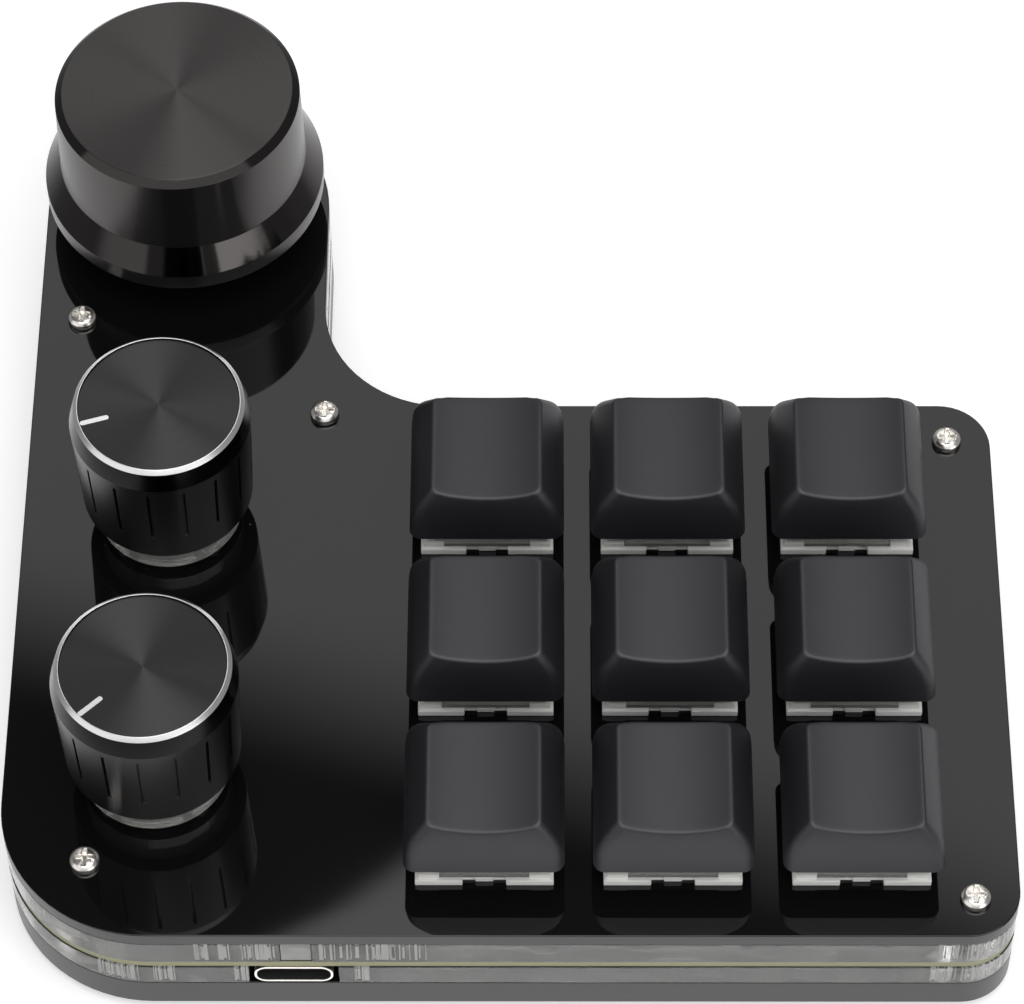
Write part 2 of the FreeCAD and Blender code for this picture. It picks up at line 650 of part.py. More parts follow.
def keycap(label):
    """A hollow cap with sloping walls, a dished top and a post that grips the cross."""
    body = new_body(label)
    half = "cap_base / 2"
    lower = new_sketch(body, "lower_edge")
    draw_rounded_box(lower, f"-{half}", half, f"-{half}", half, "cap_corner_radius")
    waist = new_sketch(body, "waist", lift="cap_waist_height")
    draw_rounded_box(waist, "-cap_waist_across / 2", "cap_waist_across / 2", "-cap_waist_front", "cap_waist_back",
                     "cap_corner_radius")
    upper = new_sketch(body, "upper_edge", lift="cap_height")
    draw_rounded_box(upper, "-cap_top_across / 2", "cap_top_across / 2", "-cap_top_front", "cap_top_back",
                     "cap_top_corner_radius")
    loft(body, [lower, waist, upper])
    dish = new_sketch(body, "dish", "XZ_Plane", tilt="cap_dish_tilt")
    draw_circle(dish, "cap_dish_radius", "0", "cap_dish_floor + cap_dish_radius")
    cut(body, dish, "2 * cap_base", "dish_cut", both_ways=True)
    share = f"{CAP_CEILING} / cap_height"
    side = f"cap_base / 2 - cap_wall - (cap_base - cap_top_across) / 2 * {share}"
    front = f"cap_base / 2 - cap_wall - (cap_base / 2 - cap_top_front) * {share}"
    back = f"cap_base / 2 - cap_wall - (cap_base / 2 - cap_top_back) * {share}"
    mouth = new_sketch(body, "mouth")
    draw_centred_box(mouth, "cap_base - 2 * cap_wall", "cap_base - 2 * cap_wall")
    ceiling = new_sketch(body, "ceiling", lift=CAP_CEILING)
    draw_box(ceiling, f"-({side})", side, f"-({front})", back)
    loft(body, [mouth, ceiling], "Subtractive")
    foot = f"{SLIDER_TOP} + cap_post_gap - {CAP_LIFT}"
    post = new_sketch(body, "post", lift=foot)
    draw_circle(post, "cap_post_radius")
    pad(body, post, f"{CAP_CEILING} + cap_wall / 4 - ({foot})", "post_pad")
    for name, across, deep in (
        ("slot_deep", "cross_web_across + 2 * cross_fit", "cross_span + 2 * cross_fit"),
        ("slot_across", "cross_span + 2 * cross_fit", "cross_web_deep + 2 * cross_fit"),
    ):
        slot = new_sketch(body, name, lift=foot)
        draw_centred_box(slot, across, deep)
        cut(body, slot, "cross_height - cap_post_gap + cross_fit", f"{name}_cut", towards_normal=True)
    return body


# Switch levels over the cover
SLIDER_TOP = "housing_height"
ROOF_UNDERSIDE = "housing_height - housing_roof"
STEM_FLANGE_TOP = f"{ROOF_UNDERSIDE} - stem_stop_gap"
STEM_FLANGE_LOW = f"{STEM_FLANGE_TOP} - stem_flange_thickness"
SWITCH_LOW = "-(top_plate_thickness + upper_frame_thickness)"
SPRING_LOW = f"{SWITCH_LOW} + switch_floor"


def key_stem(label):
    """The sliding stem: a block with a stop flange, a cross above and a spigot below."""
    body = new_body(label)
    levels = [
        ("block", STEM_FLANGE_LOW, f"{SLIDER_TOP} - ({STEM_FLANGE_LOW})", "slider_across", "slider_deep"),
        ("flange", STEM_FLANGE_LOW, "stem_flange_thickness", "stem_flange_across", "stem_flange_deep"),
        ("bar_deep", STEM_FLANGE_TOP, f"{SLIDER_TOP} + cross_height - ({STEM_FLANGE_TOP})",
         "cross_web_across", "cross_span"),
        ("bar_across", STEM_FLANGE_TOP, f"{SLIDER_TOP} + cross_height - ({STEM_FLANGE_TOP})",
         "cross_span", "cross_web_deep"),
    ]
    for name, low, height, across, deep in levels:
        sketch = new_sketch(body, name, lift=low)
        draw_centred_box(sketch, across, deep)
        pad(body, sketch, height, f"{name}_pad")
    spigot_low = f"{SPRING_LOW} + key_travel + spigot_floor_gap"
    sketch = new_sketch(body, "spigot", lift=spigot_low)
    draw_circle(sketch, "spigot_radius")
    pad(body, sketch, f"{STEM_FLANGE_TOP} - ({spigot_low})", "spigot_pad")
    return body


def key_spring(label):
    """The return spring inside the switch, as a plain sleeve of its outer size."""
    body = new_body(label)
    sketch = new_sketch(body, "ring", lift=SPRING_LOW)
    draw_circle(sketch, "spring_radius")
    draw_circle(sketch, "spring_radius - spring_wire")
    pad(body, sketch, f"{STEM_FLANGE_LOW} - ({SPRING_LOW})")
    return body


def switch_lower_housing():
    """The white half of a switch: flange on the cover, box down to the board, peg."""
    body = new_body("switch_lower_housing_model")
    box = "switch_cutout - 2 * switch_fit"
    sketch = new_sketch(body, "box", lift=SWITCH_LOW)
    draw_centred_box(sketch, box, box)
    pad(body, sketch, f"-({SWITCH_LOW})")
    sketch = new_sketch(body, "flange")
    draw_centred_box(sketch, "flange_size", "flange_size")
    pad(body, sketch, "flange_height", "flange_pad")
    room = f"{box} - 2 * switch_wall"
    sketch = new_sketch(body, "room", lift="flange_height")
    draw_centred_box(sketch, room, room)
    cut(body, sketch, f"flange_height - ({SPRING_LOW})", "room_cut")
    sketch = new_sketch(body, "notches", lift="flange_height")
    edge = "flange_size / 2"
    for side in (-1, 1):
        for end in (-1, 1):
            inner = f"({side}) * flange_block_width / 2"
            outer = f"({side}) * flange_notch_width / 2"
            near = f"({end}) * ({edge} - flange_notch_depth)"
            far = f"({end}) * ({edge} + flange_notch_depth)"
            draw_box(sketch, inner, outer, near, far)
    cut(body, sketch, "flange_height", "notch_cut")
    sketch = new_sketch(body, "block_faces", lift="flange_height")
    for end in (-1, 1):
        near = f"({end}) * ({edge} - flange_block_setback)"
        far = f"({end}) * ({edge} + flange_block_setback)"
        draw_box(sketch, "-flange_block_width / 2", "flange_block_width / 2", near, far)
    cut(body, sketch, "flange_height", "block_cut")
    sketch = new_sketch(body, "peg", lift=f"{SWITCH_LOW} - board_thickness")
    draw_circle(sketch, "peg_radius")
    pad(body, sketch, "board_thickness + switch_floor / 2", "peg_pad")
    return body


def switch_upper_housing():
    """The clear half of a switch: a tapered hood with a hole for the stem."""
    body = new_body("switch_upper_housing_model")
    rise = "(housing_height - flange_height)"
    lower = new_sketch(body, "foot", lift="flange_height")
    draw_centred_box(lower, "housing_foot", "housing_foot")
    upper = new_sketch(body, "top", lift="housing_height")
    draw_centred_box(upper, "housing_top_across", "housing_top_deep")
    loft(body, [lower, upper])
    share = f"(({ROOF_UNDERSIDE}) - flange_height) / {rise}"
    across = f"housing_foot - (housing_foot - housing_top_across) * {share} - 2 * housing_wall"
    deep = f"housing_foot - (housing_foot - housing_top_deep) * {share} - 2 * housing_wall"
    mouth = new_sketch(body, "mouth", lift="flange_height")
    draw_centred_box(mouth, "housing_foot - 2 * housing_wall", "housing_foot - 2 * housing_wall")
    ceiling = new_sketch(body, "ceiling", lift=ROOF_UNDERSIDE)
    draw_centred_box(ceiling, across, deep)
    loft(body, [mouth, ceiling], "Subtractive")
    hole = new_sketch(body, "stem_hole", lift="housing_height")
    draw_centred_box(hole, "slider_across + 2 * slider_gap", "slider_deep + 3 * slider_gap")
    cut(body, hole, "housing_roof * 1.5", "stem_hole_cut")
    return body


def switch_pin(index):
    """A round pin from the switch's floor down through the board."""
    across, deep = SWITCH_PINS[index]
    body = new_body(f"switch_pin_model_{index + 1}")
    sketch = new_sketch(body, "pin", lift=f"{SWITCH_LOW} - board_thickness - pin_tail")
    draw_circle(sketch, "pin_radius", str(across), str(deep))
    pad(body, sketch, "board_thickness + pin_tail")
    return body


def keys():
    """Caps, stems and springs one node a key; the fixed halves in groups."""
    nodes = []
    makers = [
        ("keycap", keycap, f"{FACE_LEVEL} + {CAP_LIFT}"),
        ("key_stem", key_stem, FACE_LEVEL),
        ("key_spring", key_spring, FACE_LEVEL),
    ]
    for kind, maker, level in makers:
        original = None
        for column, row in KEYS:
            label = f"{kind}_{row + 1}_{column + 1}"
            body = maker(label) if original is None else copy_of(original, label)
            original = original or body
            place(body, *key_place(column, row), level)
            nodes.append(body)
    places = [(*key_place(column, row), FACE_LEVEL) for column, row in KEYS]
    nodes.append(group_of(switch_lower_housing(), "switch_lower_housings", places))
    nodes.append(group_of(switch_upper_housing(), "switch_upper_housings", places))
    pins = []
    for index in range(len(SWITCH_PINS)):
        pins.append(group_of(switch_pin(index), f"switch_pins_{index + 1}", places))
    contacts = doc.addObject("Part::Compound", "switch_contact_pins")
    contacts.Label = "switch_contact_pins"
    contacts.Links = pins
    nodes.append(contacts)
    return nodes


# Encoder levels over the board
ENCODER_ROOF_LOW = "encoder_height - encoder_roof"
COLLAR_TOP = f"{ENCODER_ROOF_LOW} - collar_gap"
COLLAR_LOW = f"{COLLAR_TOP} - collar_height"
SHAFT_TOP = "encoder_height + shaft_reach"


def encoder_body(label):
    """A square case with a round bushing, hollow for the collar and plunger."""
    body = new_body(label)
    sketch = new_sketch(body, "case")
    draw_centred_box(sketch, "encoder_size", "encoder_size")
    pad(body, sketch, "encoder_height")
    round_edges(body, "encoder_corner", upright, "case_corners")
    sketch = new_sketch(body, "bushing", lift="encoder_height - encoder_roof / 2")
    draw_circle(sketch, "bushing_radius")
    pad(body, sketch, "bushing_height + encoder_roof / 2", "bushing_pad")
    sketch = new_sketch(body, "room", "XZ_Plane")
    bore = "shaft_radius + shaft_fit"
    top = "encoder_height + bushing_height + 1"
    draw_polygon(sketch, [
        ("0", "encoder_floor"), ("encoder_bore", "encoder_floor"), ("encoder_bore", ENCODER_ROOF_LOW),
        (bore, ENCODER_ROOF_LOW), (bore, top), ("0", top),
    ])
    before = body.Shape.Volume
    room = body.newObject("PartDesign::Groove", f"{body.Name}_room_cut")
    room.Profile = sketch
    room.ReferenceAxis = (sketch, ["V_Axis"])
    room.Angle = 360
    doc.recompute()
    if not body.Shape.Volume < before:
        raise RuntimeError(f"{label}: the room cuts nothing")
    return body


def encoder_shaft(label):
    """A round shaft with a collar that stays in the case and a flat near its top."""
    body = turned_body(label, [
        ("0", COLLAR_LOW), ("collar_radius", COLLAR_LOW), ("collar_radius", COLLAR_TOP),
        ("shaft_radius", COLLAR_TOP), ("shaft_radius", SHAFT_TOP), ("0", SHAFT_TOP),
    ])
    sketch = new_sketch(body, "flat", lift=SHAFT_TOP)
    draw_box(sketch, "-2 * shaft_radius", "2 * shaft_radius", "shaft_flat", "2 * shaft_radius")
    cut(body, sketch, "shaft_reach - bushing_height - shaft_flat_start", "flat_cut")
    return body


def encoder_plunger(label):
    body = new_body(label)
    sketch = new_sketch(body, "disc", lift=f"{COLLAR_LOW} - plunger_gap - plunger_height")
    draw_circle(sketch, "plunger_radius")
    pad(body, sketch, "plunger_height")
    return body


def encoders():
    nodes = []
    for kind, maker in (
        ("encoder_body", encoder_body),
        ("encoder_shaft", encoder_shaft),
        ("encoder_plunger", encoder_plunger),
    ):
        original = None
        for where, deep in KNOBS.items():
            label = f"{kind}_{where}"
            body = maker(label) if original is None else copy_of(original, label)
            original = original or body
            place(body, KNOB_ACROSS, deep, UPPER_LEVEL)
            nodes.append(body)
    return nodes


# Knob levels over the cover
SHAFT_TOP_OVER_COVER = "encoder_height + shaft_reach - upper_frame_thickness - top_plate_thickness"
BUSHING_TOP_OVER_COVER = "encoder_height + bushing_height - upper_frame_thickness - top_plate_thickness"
BORE_TOP = f"{SHAFT_TOP_OVER_COVER} + bore_roof_gap"


def bore_for_shaft(body, low):
    """A blind bore with a flat that matches the shaft's own."""
    sketch = new_sketch(body, "flat_bore", lift=low)
    draw_flatted_circle(sketch, "shaft_radius + shaft_fit", "shaft_flat + shaft_fit")
    cut(body, sketch, f"{BORE_TOP} - ({low})", "flat_bore_cut", towards_normal=True)


def big_knob():
    """A solid turned knob: foot, cone, near-upright wall and flat top."""
    cone_low = "big_base_height + big_base_band"
    body = turned_body("big_knob", [
        ("0", "big_base_height"), ("big_base_radius - big_foot_chamfer", "big_base_height"),
        ("big_base_radius", "big_base_height + big_foot_chamfer"), ("big_base_radius", cone_low),
        ("big_wall_radius", f"{cone_low} + big_flare_height"),
        ("big_rim_radius", "big_top_height - big_chamfer_height"),
        ("big_top_radius", "big_top_height"), ("0", "big_top_height"),
    ])
    sketch = new_sketch(body, "recess", lift="big_base_height")
    draw_circle(sketch, "bushing_radius + bushing_clearance")
    cut(body, sketch, "big_recess_depth", "recess_cut", towards_normal=True)
    bore_for_shaft(body, "big_base_height + big_recess_depth")
    sketch = new_sketch(body, "screw_hole", "XZ_Plane")
    draw_circle(sketch, "set_screw_radius", "0", "set_screw_height")
    cut(body, sketch, "big_base_radius", "screw_hole_cut")
    place(body, KNOB_ACROSS, KNOBS["back"], FACE_LEVEL)
    return body


def big_knob_set_screw():
    """A grub screw lying along Y behind the shaft, its tip on the flat."""
    body = new_body("big_knob_set_screw")
    tip = "shaft_flat + set_screw_tip_gap"
    sketch = new_sketch(body, "round", "XZ_Plane", lift=f"-({tip}) - set_screw_length")
    draw_circle(sketch, "set_screw_radius", "0", "set_screw_height")
    pad(body, sketch, "set_screw_length")
    sketch = new_sketch(body, "socket", "XZ_Plane", lift=f"-({tip}) - set_screw_length")
    draw_box(sketch, "-set_screw_socket", "set_screw_socket",
             "set_screw_height - set_screw_socket", "set_screw_height + set_screw_socket")
    cut(body, sketch, "set_screw_length / 3", "socket_cut", towards_normal=True)
    place(body, KNOB_ACROSS, KNOBS["back"], FACE_LEVEL)
    return body


def small_knob_shell(label):
    """A thin turned shell with a raised bright ring, a pointer groove and slits all round."""
    face = "small_top_height - small_face_drop"
    inside = "core_radius + core_fit"
    roof_low = f"{face} - small_roof"
    body = turned_body(label, [
        (inside, "small_bottom_height"), ("small_bottom_radius", "small_bottom_height"),
        ("small_shoulder_radius", "small_shoulder_height"), ("small_ring_radius", "small_ring_height"),
        ("small_face_radius", "small_top_height"), ("small_face_radius", face), ("0", face),
        ("0", roof_low), (inside, roof_low),
    ])
    sketch = new_sketch(body, "pointer", lift=face)
    draw_box(sketch, "pointer_inner", "small_face_radius", "-pointer_width / 2", "pointer_width / 2")
    cut(body, sketch, "pointer_depth", "pointer_cut")
    sketch = new_sketch(body, "slit", lift="slit_high")
    draw_box(sketch, "small_bottom_radius - slit_depth", "small_shoulder_radius + slit_depth",
             "-slit_width / 2", "slit_width / 2")
    slit = cut(body, sketch, "slit_high - slit_low", "slit_cut")
    repeat_round(body, slit, "slit_count", "slits")
    return body


def small_knob_core(label):
    """A clear core: outer wall, hub with the shaft's bore, ribs between and a closed top."""
    top = "small_top_height - small_face_drop - small_roof - core_fit"
    body = turned_body(label, [
        ("0", "core_bottom_height"), ("core_hub_radius", "core_bottom_height"),
        ("core_hub_radius", f"{top} - core_roof"), ("core_radius - core_wall", f"{top} - core_roof"),
        ("core_radius - core_wall", "core_bottom_height"), ("core_radius", "core_bottom_height"),
        ("core_radius", top), ("0", top),
    ])
    sketch = new_sketch(body, "rib", lift="core_bottom_height")
    draw_centred_box(sketch, "2 * core_radius - core_wall", "core_web")
    rib = pad(body, sketch, f"{top} - core_roof / 2 - core_bottom_height", "rib_pad")
    repeat_round(body, rib, "3", "ribs", "120")
    recess_top = f"{BUSHING_TOP_OVER_COVER} + knob_press + bore_roof_gap"
    sketch = new_sketch(body, "recess", lift="core_bottom_height")
    draw_circle(sketch, "bushing_radius + bushing_clearance")
    cut(body, sketch, f"{recess_top} - core_bottom_height", "recess_cut", towards_normal=True)
    bore_for_shaft(body, recess_top)
    return body


def knobs():
    nodes = [big_knob(), big_knob_set_screw()]
    for kind, maker in (("small_knob_shell", small_knob_shell), ("small_knob_core", small_knob_core)):
        original = None
        for where in ("middle", "front"):
            label = f"{kind}_{where}"
            body = maker(label) if original is None else copy_of(original, label)
            original = original or body
            turned = f"{where}_pointer_angle" if kind == "small_knob_shell" else None
            place(body, KNOB_ACROSS, KNOBS[where], FACE_LEVEL, turned)
            nodes.append(body)
    return nodes


def screw(name, shank_length):
    """A small pan-head screw, its head's underside at height 0."""
    edge = "screw_head_radius * 0.93"
    body = turned_body(f"{name}_model", [
        ("0", f"-({shank_length})"), ("screw_shank_radius", f"-({shank_length})"),
        ("screw_shank_radius", "0"), (edge, "0"), ("screw_head_radius", "screw_head_height * 0.25"),
        ("screw_head_radius * 0.96", "screw_head_height * 0.6"),
        ("screw_head_radius * 0.75", "screw_head_height * 0.9"),
        ("screw_head_radius * 0.4", "screw_head_height"), ("0", "screw_head_height"),
    ])
    sketch = new_sketch(body, "cross_recess", lift="screw_head_height")
    draw_centred_box(sketch, "cross_recess_span", "cross_recess_width")
    cut(body, sketch, "cross_recess_depth", "recess_across")
    sketch = new_sketch(body, "cross_recess_deep", lift="screw_head_height")
    draw_centred_box(sketch, "cross_recess_width", "cross_recess_span")
    cut(body, sketch, "cross_recess_depth", "recess_deep")
    return body


def fasteners():
    standoff = new_body("standoff_model")
    sketch = new_sketch(standoff, "ring")
    draw_circle(sketch, "standoff_radius")
    draw_circle(sketch, "standoff_bore")
    pad(standoff, sketch, "lower_frame_thickness + board_thickness + upper_frame_thickness")
    places = SCREWS
    top = screw("top_screw", "top_plate_thickness + screw_bite")
    bottom = screw("bottom_screw", "bottom_plate_thickness + screw_bite")
    return [
        group_of(standoff, "standoffs", [(*spot, LOWER_LEVEL) for spot in places]),
        group_of(top, "top_screws", [(*spot, FACE_LEVEL) for spot in places]),
        group_of(bottom, "bottom_screws", [(*spot, BASE_LEVEL) for spot in places], flip=True),
    ]


def rubber_feet():
    body = new_body("rubber_foot_model")
    sketch = new_sketch(body, "disc")
    draw_circle(sketch, "foot_diameter / 2")
    pad(body, sketch, "foot_height")
    far = "column_reach + column_width / 2 - foot_inset"
    places = [
        ("foot_inset * 1.8", "foot_inset * 1.8", "0"),
        ("plate_width - foot_inset", "foot_inset * 1.2", "0"),
        ("plate_width - foot_inset", "block_depth - foot_inset * 1.4", "0"),
        ("column_width / 2", far, "0"),
    ]
    return group_of(body, "rubber_feet", places)


def usb_socket():
    """The socket under the board's front edge: a flat rounded shell with a tongue."""
    shell = new_body("usb_c_shell")
    sketch = new_sketch(shell, "outside", "XZ_Plane", lift="-socket_length")
    half = "socket_width / 2"
    draw_rounded_box(sketch, f"-{half}", half, "-socket_height", "0", "socket_corner")
    pad(shell, sketch, "socket_length")
    sketch = new_sketch(shell, "inside", "XZ_Plane")
    draw_rounded_box(sketch, f"-{half} + socket_wall", f"{half} - socket_wall",
                     "-socket_height + socket_wall", "-socket_wall", "socket_corner - socket_wall")
    cut(shell, sketch, "socket_length - socket_back", "inside_cut")
    place(shell, "socket_x", "0", BOARD_LEVEL)
    tongue = new_body("usb_c_tongue")
    sketch = new_sketch(tongue, "board", "XZ_Plane", lift="-(socket_length - socket_back)")
    draw_box(sketch, "-tongue_width / 2", "tongue_width / 2",
             "-(socket_height + tongue_thickness) / 2", "-(socket_height - tongue_thickness) / 2")
    pad(tongue, sketch, "tongue_length")
    place(tongue, "socket_x", "0", BOARD_LEVEL)
    return [shell, tongue]


def board_parts():
    """The controller chip and one diode a key, on the board's underside."""
    chip = doc.addObject("Part::Box", "microcontroller")
    chip.Label = "microcontroller"
    chip.setExpression("Length", size("chip_size"))
    chip.setExpression("Width", size("chip_size"))
    chip.setExpression("Height", size("chip_height"))
    first_column, _ = key_place(0, 0)
    place(chip, f"{first_column} - chip_offset - chip_size / 2", "chip_y - chip_size / 2",
          f"{BOARD_LEVEL} - chip_height")
    diode = doc.addObject("Part::Box", "key_diode_model")
    diode.setExpression("Length", size("diode_across"))
    diode.setExpression("Width", size("diode_deep"))
    diode.setExpression("Height", size("diode_height"))
    places = []
    for key in KEYS:
        across, deep = key_place(*key)
        places.append((f"{across} - diode_across / 2", f"{deep} + diode_offset - diode_deep / 2",
                       f"{BOARD_LEVEL} - diode_height"))
    return [chip, group_of(diode, "key_diodes", places)]


def main():
    nodes = [top_plate(), upper_clear_frame(), circuit_board(), lower_clear_frame(), bottom_plate()]
    nodes += keys()
    nodes += encoders()
    nodes += knobs()
    nodes += fasteners()
    nodes.append(rubber_feet())
    nodes += usb_socket()
    nodes += board_parts()
    doc.recompute()
    for item in doc.Objects:
        if "Invalid" in item.State or "Error" in item.State:
            raise RuntimeError(f"{item.Label}: {item.State}")
    for node in nodes:
        if node.Shape.isNull() or not node.Shape.isValid():
            raise RuntimeError(f"{node.Label}: bad shape")
    os.makedirs("parts", exist_ok=True)
    for node in nodes:
        node.Shape.exportStep(f"parts/{node.Label}.step")
    print(f"{len(nodes)} nodes written")


main()
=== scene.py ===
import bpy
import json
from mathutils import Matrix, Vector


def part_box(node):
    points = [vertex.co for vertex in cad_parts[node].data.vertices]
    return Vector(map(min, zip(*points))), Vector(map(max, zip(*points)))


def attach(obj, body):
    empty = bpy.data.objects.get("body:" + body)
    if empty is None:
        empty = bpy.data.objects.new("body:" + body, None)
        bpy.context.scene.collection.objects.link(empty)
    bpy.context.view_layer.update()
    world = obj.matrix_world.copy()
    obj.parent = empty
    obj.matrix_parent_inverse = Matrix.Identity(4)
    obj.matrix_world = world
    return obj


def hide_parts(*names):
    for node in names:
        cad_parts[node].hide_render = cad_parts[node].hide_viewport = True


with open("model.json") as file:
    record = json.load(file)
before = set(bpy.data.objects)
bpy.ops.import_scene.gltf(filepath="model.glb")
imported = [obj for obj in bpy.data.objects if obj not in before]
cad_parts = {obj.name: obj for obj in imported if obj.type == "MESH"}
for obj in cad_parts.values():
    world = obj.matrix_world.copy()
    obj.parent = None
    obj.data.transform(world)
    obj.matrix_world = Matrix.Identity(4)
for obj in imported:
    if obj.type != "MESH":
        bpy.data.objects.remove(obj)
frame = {"nodes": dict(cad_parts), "record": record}

"""Dresses the macro keypad: black acrylic, clear spacers, dished keycaps and turned knobs."""

import json
import logging
import math
from dataclasses import dataclass, field
from enum import Enum
from typing import Callable, Iterable, Sequence

import bmesh
import bpy
from bpy.types import Material, Node, NodeSocket, NodeTree, Object
from mathutils import Matrix, Vector
from mathutils.bvhtree import BVHTree

LOG = logging.getLogger("macro_keypad")
MM = 0.001
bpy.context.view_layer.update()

Point = tuple[float, float]
Colour = tuple[float, float, float, float]


class Knob(Enum):
    """The three knobs, by the names that the frame gives their bodies."""

    BACK = "back"
    MIDDLE = "middle"
    FRONT = "front"

    @property
    def body(self) -> str:
        """Name of the body that turns."""
        return f"knob_{self.value}"


POINTERS = {Knob.MIDDLE: 197.0, Knob.FRONT: 223.5}


def grey(level: float) -> Colour:
    """A neutral colour."""
    return (level, level, level, 1.0)


class Graph:
    """A short way to add and join shader nodes in one tree."""

    def __init__(self, tree: NodeTree) -> None:
        """Keep the tree that nodes are added to."""
        self.tree = tree

    def join(self, start: NodeSocket, end: NodeSocket) -> None:
        """Link two sockets."""
        self.tree.links.new(start, end)

    def put(self, item: object, socket: NodeSocket) -> None:
        """Feed an input: a socket is linked to it, a plain value is set on it."""
        if isinstance(item, NodeSocket):
            self.join(item, socket)
        else:
            socket.default_value = item

    def add(self, kind: str, **settings: object) -> Node:
        """Add a node.

        Args:
            kind: Node type without the leading ShaderNode.
            settings: Node properties; `inputs` holds what goes into its inputs, by name or number.

        Returns:
            The new node.
        """
        inputs = settings.pop("inputs", {})
        node = self.tree.nodes.new(f"ShaderNode{kind}")
        for name, value in settings.items():
            setattr(node, name, value)
        for name, item in inputs.items():
            self.put(item, node.inputs[name])
        return node

    def maths(self, operation: str, first: object, second: object = 0.5,
              third: object = 0.0) -> NodeSocket:
        """Add a Math node.

        Args:
            operation: Name of the Math operation.
            first: Number or socket.
            second: Number or socket.
            third: Number or socket.

        Returns:
            The node's output.
        """
        return self.add("Math", operation=operation, inputs={0: first, 1: second, 2: third}).outputs[0]

    def mix(self, mask: object, first: object, second: object) -> NodeSocket:
        """Mix two colours.

        Args:
            mask: Number or socket from 0 to 1.
            first: Colour or socket at 0.
            second: Colour or socket at 1.

        Returns:
            The mixed colour.
        """
        return self.add("Mix", data_type="RGBA", inputs={0: mask, 6: first, 7: second}).outputs[2]

    def ramp(self, value: NodeSocket, low: float, high: float, start: float,
             end: float) -> NodeSocket:
        """Map a value smoothly from one range to another.

        Args:
            value: Socket to map.
            low: Input at which the result is `start`.
            high: Input at which the result is `end`.
            start: Result at and below `low`.
            end: Result at and above `high`.

        Returns:
            The mapped value.
        """
        node = self.add("MapRange", interpolation_type="SMOOTHSTEP", inputs={
            "Value": value, "From Min": low, "From Max": high, "To Min": start, "To Max": end})
        return node.outputs["Result"]

    def length(self, vector: NodeSocket) -> NodeSocket:
        """Length of a vector."""
        return self.add("VectorMath", operation="LENGTH", inputs={0: vector}).outputs["Value"]

    def levelness(self) -> NodeSocket:
        """How level a face lies: 0 on a wall, 1 on a top or an underside."""
        normal = self.add("NewGeometry").outputs["Normal"]
        return self.maths("ABSOLUTE", self.add("SeparateXYZ", inputs={0: normal}).outputs["Z"])

    def emboss(self, shader: Node, height: NodeSocket, strength: object,
               depth: float) -> None:
        """Press marks into a surface.

        Args:
            shader: The surface's Principled BSDF.
            height: Height of the marks.
            strength: Number or socket from 0 to 1.
            depth: Depth of the marks in millimetres.
        """
        bump = self.add("Bump", inputs={"Strength": strength, "Distance": depth * MM, "Height": height})
        self.join(bump.outputs["Normal"], shader.inputs["Normal"])


